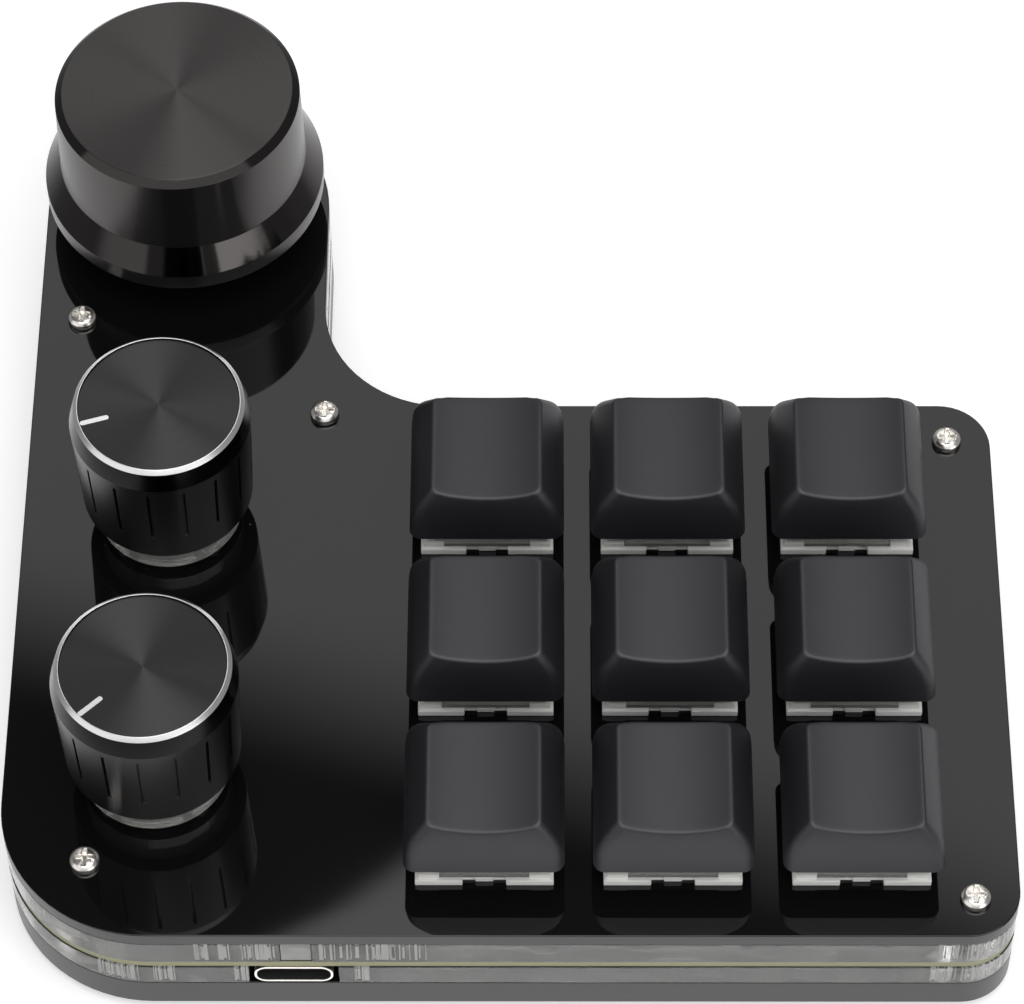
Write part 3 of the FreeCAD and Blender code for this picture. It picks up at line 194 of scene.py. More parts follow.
class Effects:
    """Shader node groups that more than one finish uses."""

    BROAD_SHARE = 0.04
    SPECK_EDGE = (0.035, 0.06)
    SPECK_RARITY = 0.93
    WAVE_SHARE = 0.35

    @staticmethod
    def _group(name: str, inputs: dict[str, float],
               outputs: Sequence[str]) -> tuple[NodeTree, Graph]:
        """Start a node group.

        Args:
            name: The group's name.
            inputs: Names and default values of its number inputs.
            outputs: Names of its number outputs.

        Returns:
            The group and a Graph on it.
        """
        tree = bpy.data.node_groups.new(name, "ShaderNodeTree")
        for label, value in inputs.items():
            socket = tree.interface.new_socket(label, in_out="INPUT", socket_type="NodeSocketFloat")
            socket.default_value = value
        for label in outputs:
            tree.interface.new_socket(label, in_out="OUTPUT", socket_type="NodeSocketFloat")
        return tree, Graph(tree)

    @staticmethod
    def _give(graph: Graph, **results: NodeSocket) -> NodeTree:
        """Link results to the group's outputs of the same names.

        Args:
            graph: The group's graph.
            results: The sockets to link.

        Returns:
            The group.
        """
        end = graph.tree.nodes.new("NodeGroupOutput")
        for name, socket in results.items():
            graph.join(socket, end.inputs[name])
        return graph.tree

    @classmethod
    def grain(cls) -> NodeTree:
        """Fine moulded grain with a slower unevenness.

        Returns:
            A group with Height and Tone outputs.
        """
        if "surface_grain" in bpy.data.node_groups:
            return bpy.data.node_groups["surface_grain"]
        tree, graph = cls._group("surface_grain", {"Scale": 2000.0}, ("Height", "Tone"))
        source = graph.add("TexCoord").outputs["Object"]
        given = tree.nodes.new("NodeGroupInput").outputs["Scale"]
        broad = graph.maths("MULTIPLY", given, cls.BROAD_SHARE)
        fine = graph.add("TexNoise", inputs={
            "Vector": source, "Scale": given, "Detail": 3.0, "Roughness": 0.6})
        slow = graph.add("TexNoise", inputs={"Vector": source, "Scale": broad, "Detail": 2.0})
        return cls._give(graph, Height=fine.outputs[0], Tone=slow.outputs[0])

    @classmethod
    def dust(cls) -> NodeTree:
        """Sparse specks of lint on a polished face.

        Returns:
            A group with a Mask output.
        """
        if "lint_specks" in bpy.data.node_groups:
            return bpy.data.node_groups["lint_specks"]
        tree, graph = cls._group("lint_specks", {"Scale": 260.0, "Amount": 0.5}, ("Mask",))
        source = graph.add("TexCoord").outputs["Object"]
        given = tree.nodes.new("NodeGroupInput").outputs
        cells = graph.add("TexVoronoi", feature="F1", inputs={"Vector": source, "Scale": given["Scale"]})
        near = graph.ramp(cells.outputs["Distance"], *cls.SPECK_EDGE, 1.0, 0.0)
        chance = graph.add("SeparateColor", inputs={0: cells.outputs["Color"]})
        rare = graph.maths("GREATER_THAN", chance.outputs[0], cls.SPECK_RARITY)
        speck = graph.maths("MULTIPLY", near, rare)
        return cls._give(graph, Mask=graph.maths("MULTIPLY", speck, given["Amount"]))

    @classmethod
    def rings(cls) -> NodeTree:
        """Concentric tool marks round an upright axis.

        Returns:
            A group with Height and Tone outputs, driven by Radius in metres.
        """
        if "turned_rings" in bpy.data.node_groups:
            return bpy.data.node_groups["turned_rings"]
        tree, graph = cls._group("turned_rings", {"Radius": 0.0, "Pitch": 0.0002}, ("Height", "Tone"))
        given = tree.nodes.new("NodeGroupInput").outputs
        turns = graph.maths("DIVIDE", given["Radius"], given["Pitch"])
        wave = graph.maths("SINE", graph.maths("MULTIPLY", turns, 2 * math.pi))
        noise = graph.add("TexNoise", noise_dimensions="1D", inputs={"W": turns, "Scale": 1.0, "Detail": 3.0})
        uneven = noise.outputs[0]
        return cls._give(graph, Height=graph.maths("MULTIPLY_ADD", wave, cls.WAVE_SHARE, uneven), Tone=uneven)


@dataclass(frozen=True)
class Finish:
    """A plain finish: one colour that varies a little, with fine grain in the surface."""

    name: str
    colour: Colour
    roughness: float = 0.5
    metallic: float = 0.0
    ior: float = 1.5
    transmission: float = 0.0
    grain_scale: float = 2500.0
    grain_depth: float = 0.004
    grain_strength: float = 0.35
    variation: float = 0.12
    anisotropic: float = 0.0
    specular: float = 0.5
    tint: Colour = (1.0, 1.0, 1.0, 1.0)

    def shade(self, share: float) -> Colour:
        """The colour made lighter by a share, or darker by a negative one."""
        return tuple(min(1.0, value * (1 + share)) for value in self.colour[:3]) + (1.0,)

    def dress(self, graph: Graph, shader: Node) -> None:
        """Add the grain's bump and colour variation.

        Args:
            graph: The material's graph.
            shader: Its Principled BSDF.
        """
        grain = graph.add("Group", node_tree=Effects.grain(), inputs={"Scale": self.grain_scale})
        graph.emboss(shader, grain.outputs["Height"], self.grain_strength, self.grain_depth)
        tones = graph.mix(grain.outputs["Tone"], self.shade(-self.variation), self.shade(self.variation))
        graph.join(tones, shader.inputs["Base Color"])

    def build(self) -> Material:
        """Make the material, with its constant numbers set on the shader.

        Returns:
            The finished material.
        """
        material = bpy.data.materials.new(self.name)
        material.use_nodes = True
        shader = material.node_tree.nodes["Principled BSDF"]
        shader.inputs["Base Color"].default_value = self.colour
        shader.inputs["Roughness"].default_value = self.roughness
        shader.inputs["Metallic"].default_value = self.metallic
        shader.inputs["IOR"].default_value = self.ior
        shader.inputs["Transmission Weight"].default_value = self.transmission
        shader.inputs["Anisotropic"].default_value = self.anisotropic
        shader.inputs["Specular IOR Level"].default_value = self.specular
        shader.inputs["Specular Tint"].default_value = self.tint
        self.dress(Graph(material.node_tree), shader)
        return material


@dataclass(frozen=True)
class BlackAcrylic(Finish):
    """Polished black sheet: a mirror-like face with a little lint on it, and duller cut edges."""

    lint_scale: float = 230.0
    lint_amount: float = 0.35
    lint_colour: Colour = grey(0.6)
    lint_roughness: float = 0.6
    cut_colour: Colour = (0.045, 0.043, 0.043, 1.0)
    cut_roughness: float = 0.3
    cut_slope: Point = (0.3, 0.6)
    smear: float = 0.03
    smear_base: float = -0.01

    def dress(self, graph: Graph, shader: Node) -> None:
        """Add the lint, faint smears and the cut edges' own look.

        Args:
            graph: The material's graph.
            shader: Its Principled BSDF.
        """
        lint = graph.add("Group", node_tree=Effects.dust(), inputs={
            "Scale": self.lint_scale, "Amount": self.lint_amount}).outputs["Mask"]
        grain = graph.add("Group", node_tree=Effects.grain(), inputs={"Scale": self.grain_scale})
        cut = graph.ramp(graph.levelness(), *self.cut_slope, 1.0, 0.0)
        sheet = graph.mix(cut, self.colour, self.cut_colour)
        graph.join(graph.mix(lint, sheet, self.lint_colour), shader.inputs["Base Color"])
        dull = graph.maths("MULTIPLY_ADD", grain.outputs["Tone"], self.smear,
                           self.roughness + self.smear_base)
        dull = graph.maths("MULTIPLY_ADD", cut, self.cut_roughness, dull)
        graph.join(graph.maths("MULTIPLY_ADD", lint, self.lint_roughness, dull), shader.inputs["Roughness"])


@dataclass(frozen=True)
class ClearSheet(Finish):
    """Clear sheet whose cut edges carry fine upright marks, deeper in some patches."""

    mark_scale: float = 2600.0
    mark_length: float = 0.03
    mark_depth: float = 0.1
    mark_strength: float = 0.5
    patch_scale: float = 210.0
    patch_edge: Point = (0.53, 0.6)
    quiet: float = 0.14

    def dress(self, graph: Graph, shader: Node) -> None:
        """Add the upright marks.

        Args:
            graph: The material's graph.
            shader: Its Principled BSDF.
        """
        source = graph.add("TexCoord").outputs["Object"]
        place = graph.add("Mapping", vector_type="POINT", inputs={
            "Vector": source, "Scale": (1.0, 1.0, self.mark_length)})
        marks = graph.add("TexNoise", inputs={
            "Vector": place.outputs[0], "Scale": self.mark_scale, "Detail": 4.0, "Roughness": 0.7}).outputs[0]
        patches = graph.add("TexNoise", inputs={"Vector": source, "Scale": self.patch_scale, "Detail": 1.0})
        strength = graph.ramp(patches.outputs[0], *self.patch_edge, self.mark_strength * self.quiet,
                              self.mark_strength)
        graph.emboss(shader, marks, strength, self.mark_depth)
        graph.join(graph.mix(marks, self.shade(-self.variation), self.colour), shader.inputs["Base Color"])


@dataclass(frozen=True)
class BoardLaminate(Finish):
    """Circuit board: dark lacquer on its faces and bare laminate on its cut edges."""

    edge: Colour = (0.34, 0.33, 0.19, 1.0)
    flat_from: float = 0.5

    def dress(self, graph: Graph, shader: Node) -> None:
        """Add the grain, and colour the cut edges.

        Args:
            graph: The material's graph.
            shader: Its Principled BSDF.
        """
        super().dress(graph, shader)
        flat = graph.maths("GREATER_THAN", graph.levelness(), self.flat_from)
        graph.join(graph.mix(flat, self.edge, self.colour), shader.inputs["Base Color"])


@dataclass(frozen=True)
class TurnedMetal(Finish):
    """Lathe-turned metal: rings round the knob's own axis, on its flat faces and walls."""

    centre: Point = (0.0, 0.0)
    pitch: float = 0.0002
    ring_depth: float = 0.0004
    cone: float = 0.25
    climb: float = 0.9
    wall_roughness: float = 0.2
    wall_slope: Point = (0.3, 0.8)

    def dress(self, graph: Graph, shader: Node) -> None:
        """Add the rings, and stretch the shine across them.

        Args:
            graph: The material's graph.
            shader: Its Principled BSDF.
        """
        place = graph.add("Mapping", vector_type="POINT", inputs={
            "Vector": graph.add("TexCoord").outputs["Object"],
            "Location": (-self.centre[0], -self.centre[1], 0.0)})
        parts = graph.add("SeparateXYZ", inputs={0: place.outputs[0]}).outputs
        flat = graph.add("CombineXYZ", inputs={"X": parts["X"], "Y": parts["Y"]}).outputs[0]
        along = graph.add("VectorMath", operation="CROSS_PRODUCT", inputs={0: (0.0, 0.0, 1.0), 1: flat})
        athwart = graph.add("VectorMath", operation="CROSS_PRODUCT", inputs={
            0: along.outputs[0], 1: graph.add("NewGeometry").outputs["Normal"]})
        graph.join(athwart.outputs[0], shader.inputs["Tangent"])
        dull = graph.ramp(graph.levelness(), *self.wall_slope, self.wall_roughness, self.roughness)
        graph.join(dull, shader.inputs["Roughness"])
        travel = graph.maths("ADD", graph.length(flat), graph.maths("MULTIPLY", parts["Z"], self.climb))
        rings = graph.add("Group", node_tree=Effects.rings(), inputs={"Pitch": self.pitch, "Radius": travel})
        graph.emboss(shader, rings.outputs["Height"], self.cone, self.ring_depth)
        tones = graph.mix(rings.outputs["Tone"], self.shade(-self.variation), self.shade(self.variation))
        graph.join(tones, shader.inputs["Base Color"])


class Finishes:
    """Every finish on the keypad, made once and handed out by name."""

    PLAIN = (
        Finish("keycap_plastic", (0.007, 0.007, 0.009, 1.0), roughness=0.5, grain_scale=5200.0,
               grain_depth=0.02, specular=0.92, tint=(0.95, 0.93, 1.0, 1.0)),
        Finish("white_nylon", (0.93, 0.92, 0.89, 1.0), roughness=0.35, variation=0.03),
        ClearSheet("clear_acrylic", (0.91, 0.91, 0.89, 1.0), roughness=0.02, ior=1.49, transmission=0.95,
                   variation=0.15, mark_scale=2000.0, mark_depth=0.45),
        Finish("polished_black", (0.058, 0.054, 0.053, 1.0), roughness=0.09, metallic=1.0, variation=0.05),
        # Darker, glossier copy of the polished black: painted shade on the small knobs' shoulders.
        Finish("shoulder_painted_shade", (0.026, 0.025, 0.026, 1.0), roughness=0.24, metallic=1.0, variation=0.05),
        Finish("clear_housing", (0.8, 0.8, 0.78, 1.0), roughness=0.12, ior=1.5, transmission=0.85,
               variation=0.04),
        ClearSheet("clear_core", (0.97, 0.96, 0.93, 1.0), roughness=0.04, ior=1.5, transmission=0.85,
                   variation=0.1, mark_scale=800.0, mark_length=0.1, mark_depth=0.25, quiet=1.0),
        Finish("nickel", (0.95, 0.92, 0.87, 1.0), roughness=0.27, metallic=1.0, variation=0.05),
        Finish("bright_cut", (0.92, 0.92, 0.92, 1.0), roughness=0.27, metallic=1.0, variation=0.04),
        # Painted glint: a pale grey for the slivers inside the clear spacers.
        Finish("painted_glint_grey", (0.6, 0.6, 0.59, 1.0), roughness=0.45, variation=0.25, grain_scale=4000.0),
        Finish("brass", (0.75, 0.58, 0.27, 1.0), roughness=0.3, metallic=1.0),
        Finish("chip_black", grey(0.02), roughness=0.45),
        Finish("foot_rubber", grey(0.025), roughness=0.8, grain_depth=0.03),
        Finish("dark_steel", grey(0.1), roughness=0.35, metallic=1.0),
        Finish("stem_plastic", (0.27, 0.12, 0.06, 1.0), roughness=0.35),
        Finish("spring_steel", grey(0.55), roughness=0.25, metallic=1.0),
        Finish("encoder_case", grey(0.5), roughness=0.35, metallic=1.0),
        Finish("shaft_metal", grey(0.65), roughness=0.28, metallic=1.0),
    )

    def __init__(self) -> None:
        """Build the finishes that need no place."""
        self._made: dict[str, Material] = {}
        for finish in self.PLAIN:
            self._made[finish.name] = finish.build()
        acrylic = BlackAcrylic("black_acrylic", (0.004, 0.004, 0.0045, 1.0), roughness=0.03, ior=1.5,
                               grain_scale=600.0)
        self._made[acrylic.name] = acrylic.build()
        board = BoardLaminate("circuit_board", (0.012, 0.016, 0.012, 1.0), roughness=0.4)
        self._made[board.name] = board.build()

    def get(self, name: str) -> Material:
        """A finish by name."""
        return self._made[name]

    def turned(self, name: str, centre: Point, colour: Colour, roughness: float) -> Material:
        """A turned finish whose rings run round one knob's axis.

        Args:
            name: The material's name.
            centre: The axis, in metres.
            colour: The metal's colour.
            roughness: The metal's roughness.

        Returns:
            The material.
        """
        finish = TurnedMetal(name, colour, roughness=roughness, metallic=0.94, anisotropic=0.95,
                             variation=0.13, centre=centre)
        return finish.build()


class Bench:
    """Mesh steps that all sub-assemblies share."""

    DOUBLES = 0.001 * MM
    FRAME_DOUBLES = 0.002 * MM
    FLAT = math.radians(0.5)

    def __init__(self, finishes: Finishes) -> None:
        """Keep the finishes."""
        self.finishes = finishes

    @staticmethod
    def clear_selection() -> None:
        """Leave edit mode and deselect everything."""
        if bpy.context.mode != "OBJECT":
            bpy.ops.object.mode_set(mode="OBJECT")
        bpy.ops.object.select_all(action="DESELECT")

    @classmethod
    def take(cls, obj: Object) -> None:
        """Select one object and make it active."""
        cls.clear_selection()
        obj.select_set(True)
        bpy.context.view_layer.objects.active = obj

    @classmethod
    def pick(cls, obj: Object, kind: str, test: Callable[[object], bool]) -> int:
        """Enter edit mode with the elements that a test picks out selected.

        Args:
            obj: The object to edit.
            kind: VERT, EDGE or FACE.
            test: Called with each bmesh element.

        Returns:
            How many were picked.
        """
        cls.take(obj)
        bpy.ops.object.mode_set(mode="EDIT")
        bpy.ops.mesh.select_mode(type=kind)
        bpy.ops.mesh.select_all(action="DESELECT")
        mesh = bmesh.from_edit_mesh(obj.data)
        mesh.normal_update()
        elements = {"VERT": mesh.verts, "EDGE": mesh.edges, "FACE": mesh.faces}[kind]
        count = 0
        for element in elements:
            if test(element):
                element.select_set(True)
                count += 1
        mesh.select_flush_mode()
        bmesh.update_edit_mesh(obj.data)
        return count

    @classmethod
    def stop_editing(cls) -> None:
        """Leave edit mode."""
        bpy.ops.object.mode_set(mode="OBJECT")

    @classmethod
    def clean(cls, obj: Object, angle: float = 35.0) -> None:
        """Merge doubles, turn faces outwards and smooth by angle.

        Args:
            obj: The object to clean.
            angle: Edges sharper than this many degrees stay sharp.
        """
        cls.take(obj)
        bpy.ops.object.mode_set(mode="EDIT")
        bpy.ops.mesh.select_all(action="SELECT")
        bpy.ops.mesh.remove_doubles(threshold=cls.DOUBLES)
        bpy.ops.mesh.normals_make_consistent(inside=False)
        bpy.ops.object.mode_set(mode="OBJECT")
        bpy.ops.object.shade_smooth_by_angle(angle=math.radians(angle))

    @classmethod
    def carve(cls, obj: Object, cutter: Object) -> None:
        """Cut one object out of another and throw the cutter away."""
        cls.take(obj)
        cut = obj.modifiers.new("carve", "BOOLEAN")
        cut.operation = "DIFFERENCE"
        cut.solver = "EXACT"
        cut.object = cutter
        bpy.ops.object.modifier_apply(modifier=cut.name)
        bpy.data.objects.remove(cutter)

    @classmethod
    def settle(cls, obj: Object) -> None:
        """Apply an object's place, turn and size to its mesh."""
        cls.take(obj)
        bpy.ops.object.transform_apply(location=True, rotation=True, scale=True)

    @classmethod
    def lathe(cls, profile: Sequence[Point], steps: int) -> Object:
        """Spin a closed half profile round the upright axis through the origin.

        Args:
            profile: Points as radius and height, in metres, from axis to axis.
            steps: How many steps a full turn has.

        Returns:
            The turned object.
        """
        cls.clear_selection()
        bpy.ops.mesh.primitive_plane_add(size=MM)
        obj = bpy.context.object
        bpy.ops.object.mode_set(mode="EDIT")
        bpy.ops.mesh.select_all(action="SELECT")
        bpy.ops.mesh.merge(type="CENTER")
        bpy.ops.mesh.select_mode(type="VERT")
        bpy.ops.mesh.select_all(action="SELECT")
        start = profile[0]
        bpy.ops.transform.translate(value=(start[0], 0.0, start[1]))
        for before, after in zip(profile, profile[1:]):
            step = (after[0] - before[0], 0.0, after[1] - before[1])
            bpy.ops.mesh.extrude_region_move(TRANSFORM_OT_translate={"value": step})
        bpy.ops.mesh.select_all(action="SELECT")
        bpy.ops.mesh.spin(steps=steps, angle=2 * math.pi, center=(0, 0, 0), axis=(0, 0, 1))
        bpy.ops.object.mode_set(mode="OBJECT")
        return obj

    @classmethod
    def box(cls, low: Sequence[float], high: Sequence[float]) -> Object:
        """A block between two corners.

        Args:
            low: Its lowest corner, in metres.
            high: Its highest corner, in metres.

        Returns:
            The block, with its place in its mesh.
        """
        start, end = Vector(low), Vector(high)
        cls.clear_selection()
        bpy.ops.mesh.primitive_cube_add(size=1.0, location=(start + end) / 2)
        block = bpy.context.object
        block.scale = end - start
        cls.settle(block)
        return block

    @classmethod
    def unite(cls, blocks: Sequence[Object]) -> Object:
        """Join objects into the first one.

        Args:
            blocks: The objects to join.

        Returns:
            The joined object.
        """
        cls.clear_selection()
        for block in blocks:
            block.select_set(True)
        bpy.context.view_layer.objects.active = blocks[0]
        bpy.ops.object.join()
        return blocks[0]

    @staticmethod
    def round_corners(corners: Iterable[tuple[float, float, float]], steps: int = 5) -> list[Point]:
        """Turn a profile with sharp corners into one with small arcs.

        Args:
            corners: Radius, height and the rounding at that corner, all in metres.
            steps: Pieces of each arc.

        Returns:
            The profile's points.
        """
        spots = [(Vector((x, z)), rounding) for x, z, rounding in corners]
        points: list[Point] = []
        for index, (spot, rounding) in enumerate(spots):
            if rounding <= 0 or index in (0, len(spots) - 1):
                points.append((spot.x, spot.y))
                continue
            before = (spots[index - 1][0] - spot).normalized()
            after = (spots[index + 1][0] - spot).normalized()
            half = before.angle(after) / 2
            reach = rounding / math.tan(half)
            centre = spot + (before + after).normalized() * rounding / math.sin(half)
            start = spot + before * reach
            end = spot + after * reach
            for step in range(steps + 1):
                share = step / steps
                chord = start.lerp(end, share) - centre
                point = centre + chord.normalized() * rounding
                points.append((point.x, point.y))
        return points

    @classmethod
    def smooth(cls, obj: Object, angle: float = 35.0) -> None:
        """Smooth by angle, with the large faces keeping their own direction.

        Args:
            obj: The object to smooth.
            angle: Edges sharper than this many degrees stay sharp.
        """
        cls.take(obj)
        bpy.ops.object.shade_smooth_by_angle(angle=math.radians(angle))
        even = obj.modifiers.new("even_faces", "WEIGHTED_NORMAL")
        even.weight = 100
        even.keep_sharp = True
        bpy.ops.object.modifier_apply(modifier=even.name)

    def copy_node(self, node: str, bevel: float = 0.0, angle: float = 35.0,
                  shrink: float = 0.0) -> Object:
        """A merged copy of a frame node with its sharp edges broken.

        Args:
            node: The frame node's name.
            bevel: Width of the broken edges, in metres.
            angle: Edges sharper than this many degrees are broken.
            shrink: How far its top and bottom faces draw in, in metres.

        Returns:
            The copy, at the origin.
        """
        source = frame["nodes"][node]
        obj = bpy.data.objects.new(f"{node}_finished", source.data.copy())
        obj.data.materials.clear()
        bpy.context.scene.collection.objects.link(obj)
        self.take(obj)
        bpy.ops.object.mode_set(mode="EDIT")
        bpy.ops.mesh.select_all(action="SELECT")
        bpy.ops.mesh.remove_doubles(threshold=self.FRAME_DOUBLES)
        bpy.ops.mesh.dissolve_limited(angle_limit=self.FLAT)
        bpy.ops.object.mode_set(mode="OBJECT")
        if shrink:
            low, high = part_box(node)
            for vertex in obj.data.vertices:
                if abs(vertex.co.z - high.z) < self.DOUBLES:
                    vertex.co.z -= shrink
                elif abs(vertex.co.z - low.z) < self.DOUBLES:
                    vertex.co.z += shrink
        if bevel:
            edge = obj.modifiers.new("broken_edge", "BEVEL")
            edge.width = bevel
            edge.segments = 2
            edge.limit_method = "ANGLE"
            edge.angle_limit = math.radians(angle)
            edge.use_clamp_overlap = False
            bpy.ops.object.modifier_apply(modifier=edge.name)
        self.smooth(obj, angle)
        return obj

    def mount(self, obj: Object, name: str, body: str, slot: str,
              material: str | Material, nodes: Sequence[str] = ()) -> Object:
        """Name a piece, dress it and let it ride.

        Args:
            obj: The piece, with its place in its mesh.
            name: The piece's name.
            body: The body it rides on.
            slot: The record's material slot; not used.
            material: A finish's name, or the material.
            nodes: Frame nodes that it stands for.

        Returns:
            The piece.
        """
        obj.name = name
        obj.data.name = name
        finish = self.finishes.get(material) if isinstance(material, str) else material
        if not obj.data.materials:
            obj.data.materials.append(finish)
        else:
            obj.data.materials[0] = finish
        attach(obj, body)
        if nodes:
            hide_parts(*nodes)
        LOG.info("%s: %d faces on %s", name, len(obj.data.polygons), body)
        return obj


@dataclass
class PlateStack:
    """The black plates, the clear spacers and the board between them."""

    bench: Bench
    plate_edge: float = 0.14 * MM
    spacer_edge: float = 0.1 * MM
    spacer_gap: float = 0.02 * MM
    pane_middle: float = 33.9 * MM
    pane_half: float = 1.7 * MM
    pane_setback: float = 0.25 * MM
    pane_depth: float = 2.0 * MM
    streak_inset: float = 0.3 * MM
    streak_step: float = 0.02 * MM
    streak_steps: int = 7
    streak_depth: float = 0.15 * MM
    streak_stride: float = 0.618
    streak_widths: tuple[float, ...] = (0.1, 0.24, 0.14, 0.42, 0.08, 0.18, 0.3)
    streak_reaches: tuple[float, ...] = (0.42, 0.32, 0.42)
    # Spans along the spacers' fronts, in millimetres, where the painted glints stand: start, end and how many
    # slivers.
    streaks: dict[str, tuple[tuple[float, float, int], ...]] = field(default_factory=lambda: {
        "upper_clear_frame": ((-35.1, -33.6, 6), (-32.3, -31.1, 5), (-29.8, -26.0, 13), (-20.9, -8.4, 20),
                              (-15.1, -12.7, 9), (48.5, 56.4, 16)),
        "lower_clear_frame": ((-46.3, -41.6, 12), (-40.0, -37.3, 8), (-30.8, -29.2, 6), (-17.2, -15.4, 7),
                              (47.9, 56.4, 16)),
    })
    layers: dict[str, str] = field(default_factory=lambda: {
        "top_plate": "black_acrylic",
        "bottom_plate": "black_acrylic",
        "upper_clear_frame": "clear_acrylic",
        "lower_clear_frame": "clear_acrylic",
        "circuit_board": "circuit_board",
    })

    def _glint_slivers(self) -> Object:
        """Pale upright slivers just behind the spacers' front edges: painted glints that stand in for light
        caught inside the clear cut edges.

        Returns:
            The joined slivers.
        """
        blocks = []
        for node, spans in self.streaks.items():
            mesh = frame["nodes"][node].data
            walls = BVHTree.FromPolygons([vertex.co for vertex in mesh.vertices],
                                         [tuple(polygon.vertices) for polygon in mesh.polygons])
            low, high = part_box(node)
            for start, end, count in spans:
                for index in range(count):
                    across = (start + (end - start) * math.fmod(index * self.streak_stride, 1.0)) * MM
                    spot, facing, _, _ = walls.ray_cast(Vector((across, low.y - MM, (low.z + high.z) / 2)),
                                                        Vector((0, 1, 0)))
                    turn = len(blocks)
                    half = self.streak_widths[turn % len(self.streak_widths)] / 2 * MM
                    rise = (high.z - low.z) * self.streak_reaches[turn % len(self.streak_reaches)]
                    block = self.bench.box((-half, 0, -rise), (half, self.streak_depth, rise))
                    turned = Matrix.Rotation(math.atan2(facing.x, -facing.y), 4, "Z")
                    inset = self.streak_inset + self.streak_step * (turn % self.streak_steps)
                    block.data.transform(Matrix.Translation(spot - facing * inset) @ turned)
                    blocks.append(block)
        return self.bench.unite(blocks)

    def build(self) -> None:
        """Make every layer."""
        for node, finish in self.layers.items():
            clear = finish == "clear_acrylic"
            bevel = self.spacer_edge if clear else self.plate_edge
            shrink = self.spacer_gap if clear else 0.0
            piece = self.bench.copy_node(node, bevel, shrink=shrink)
            self.bench.mount(piece, f"{node}_sheet", "root", finish, finish, [node])
        low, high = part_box("upper_clear_frame")
        middle = low.x + self.pane_middle
        front = low.y + self.pane_setback
        pane = self.bench.box((middle - self.pane_half, front, low.z + self.spacer_edge),
                              (middle + self.pane_half, front + self.pane_depth, high.z - self.spacer_edge))
        self.bench.mount(pane, "light_pane", "root", "clear_acrylic", "clear_housing")
        # Painted glints: pale slivers inside the clear spacers.
        self.bench.mount(self._glint_slivers(), "spacer_painted_glints", "root", "clear_acrylic", "painted_glint_grey")


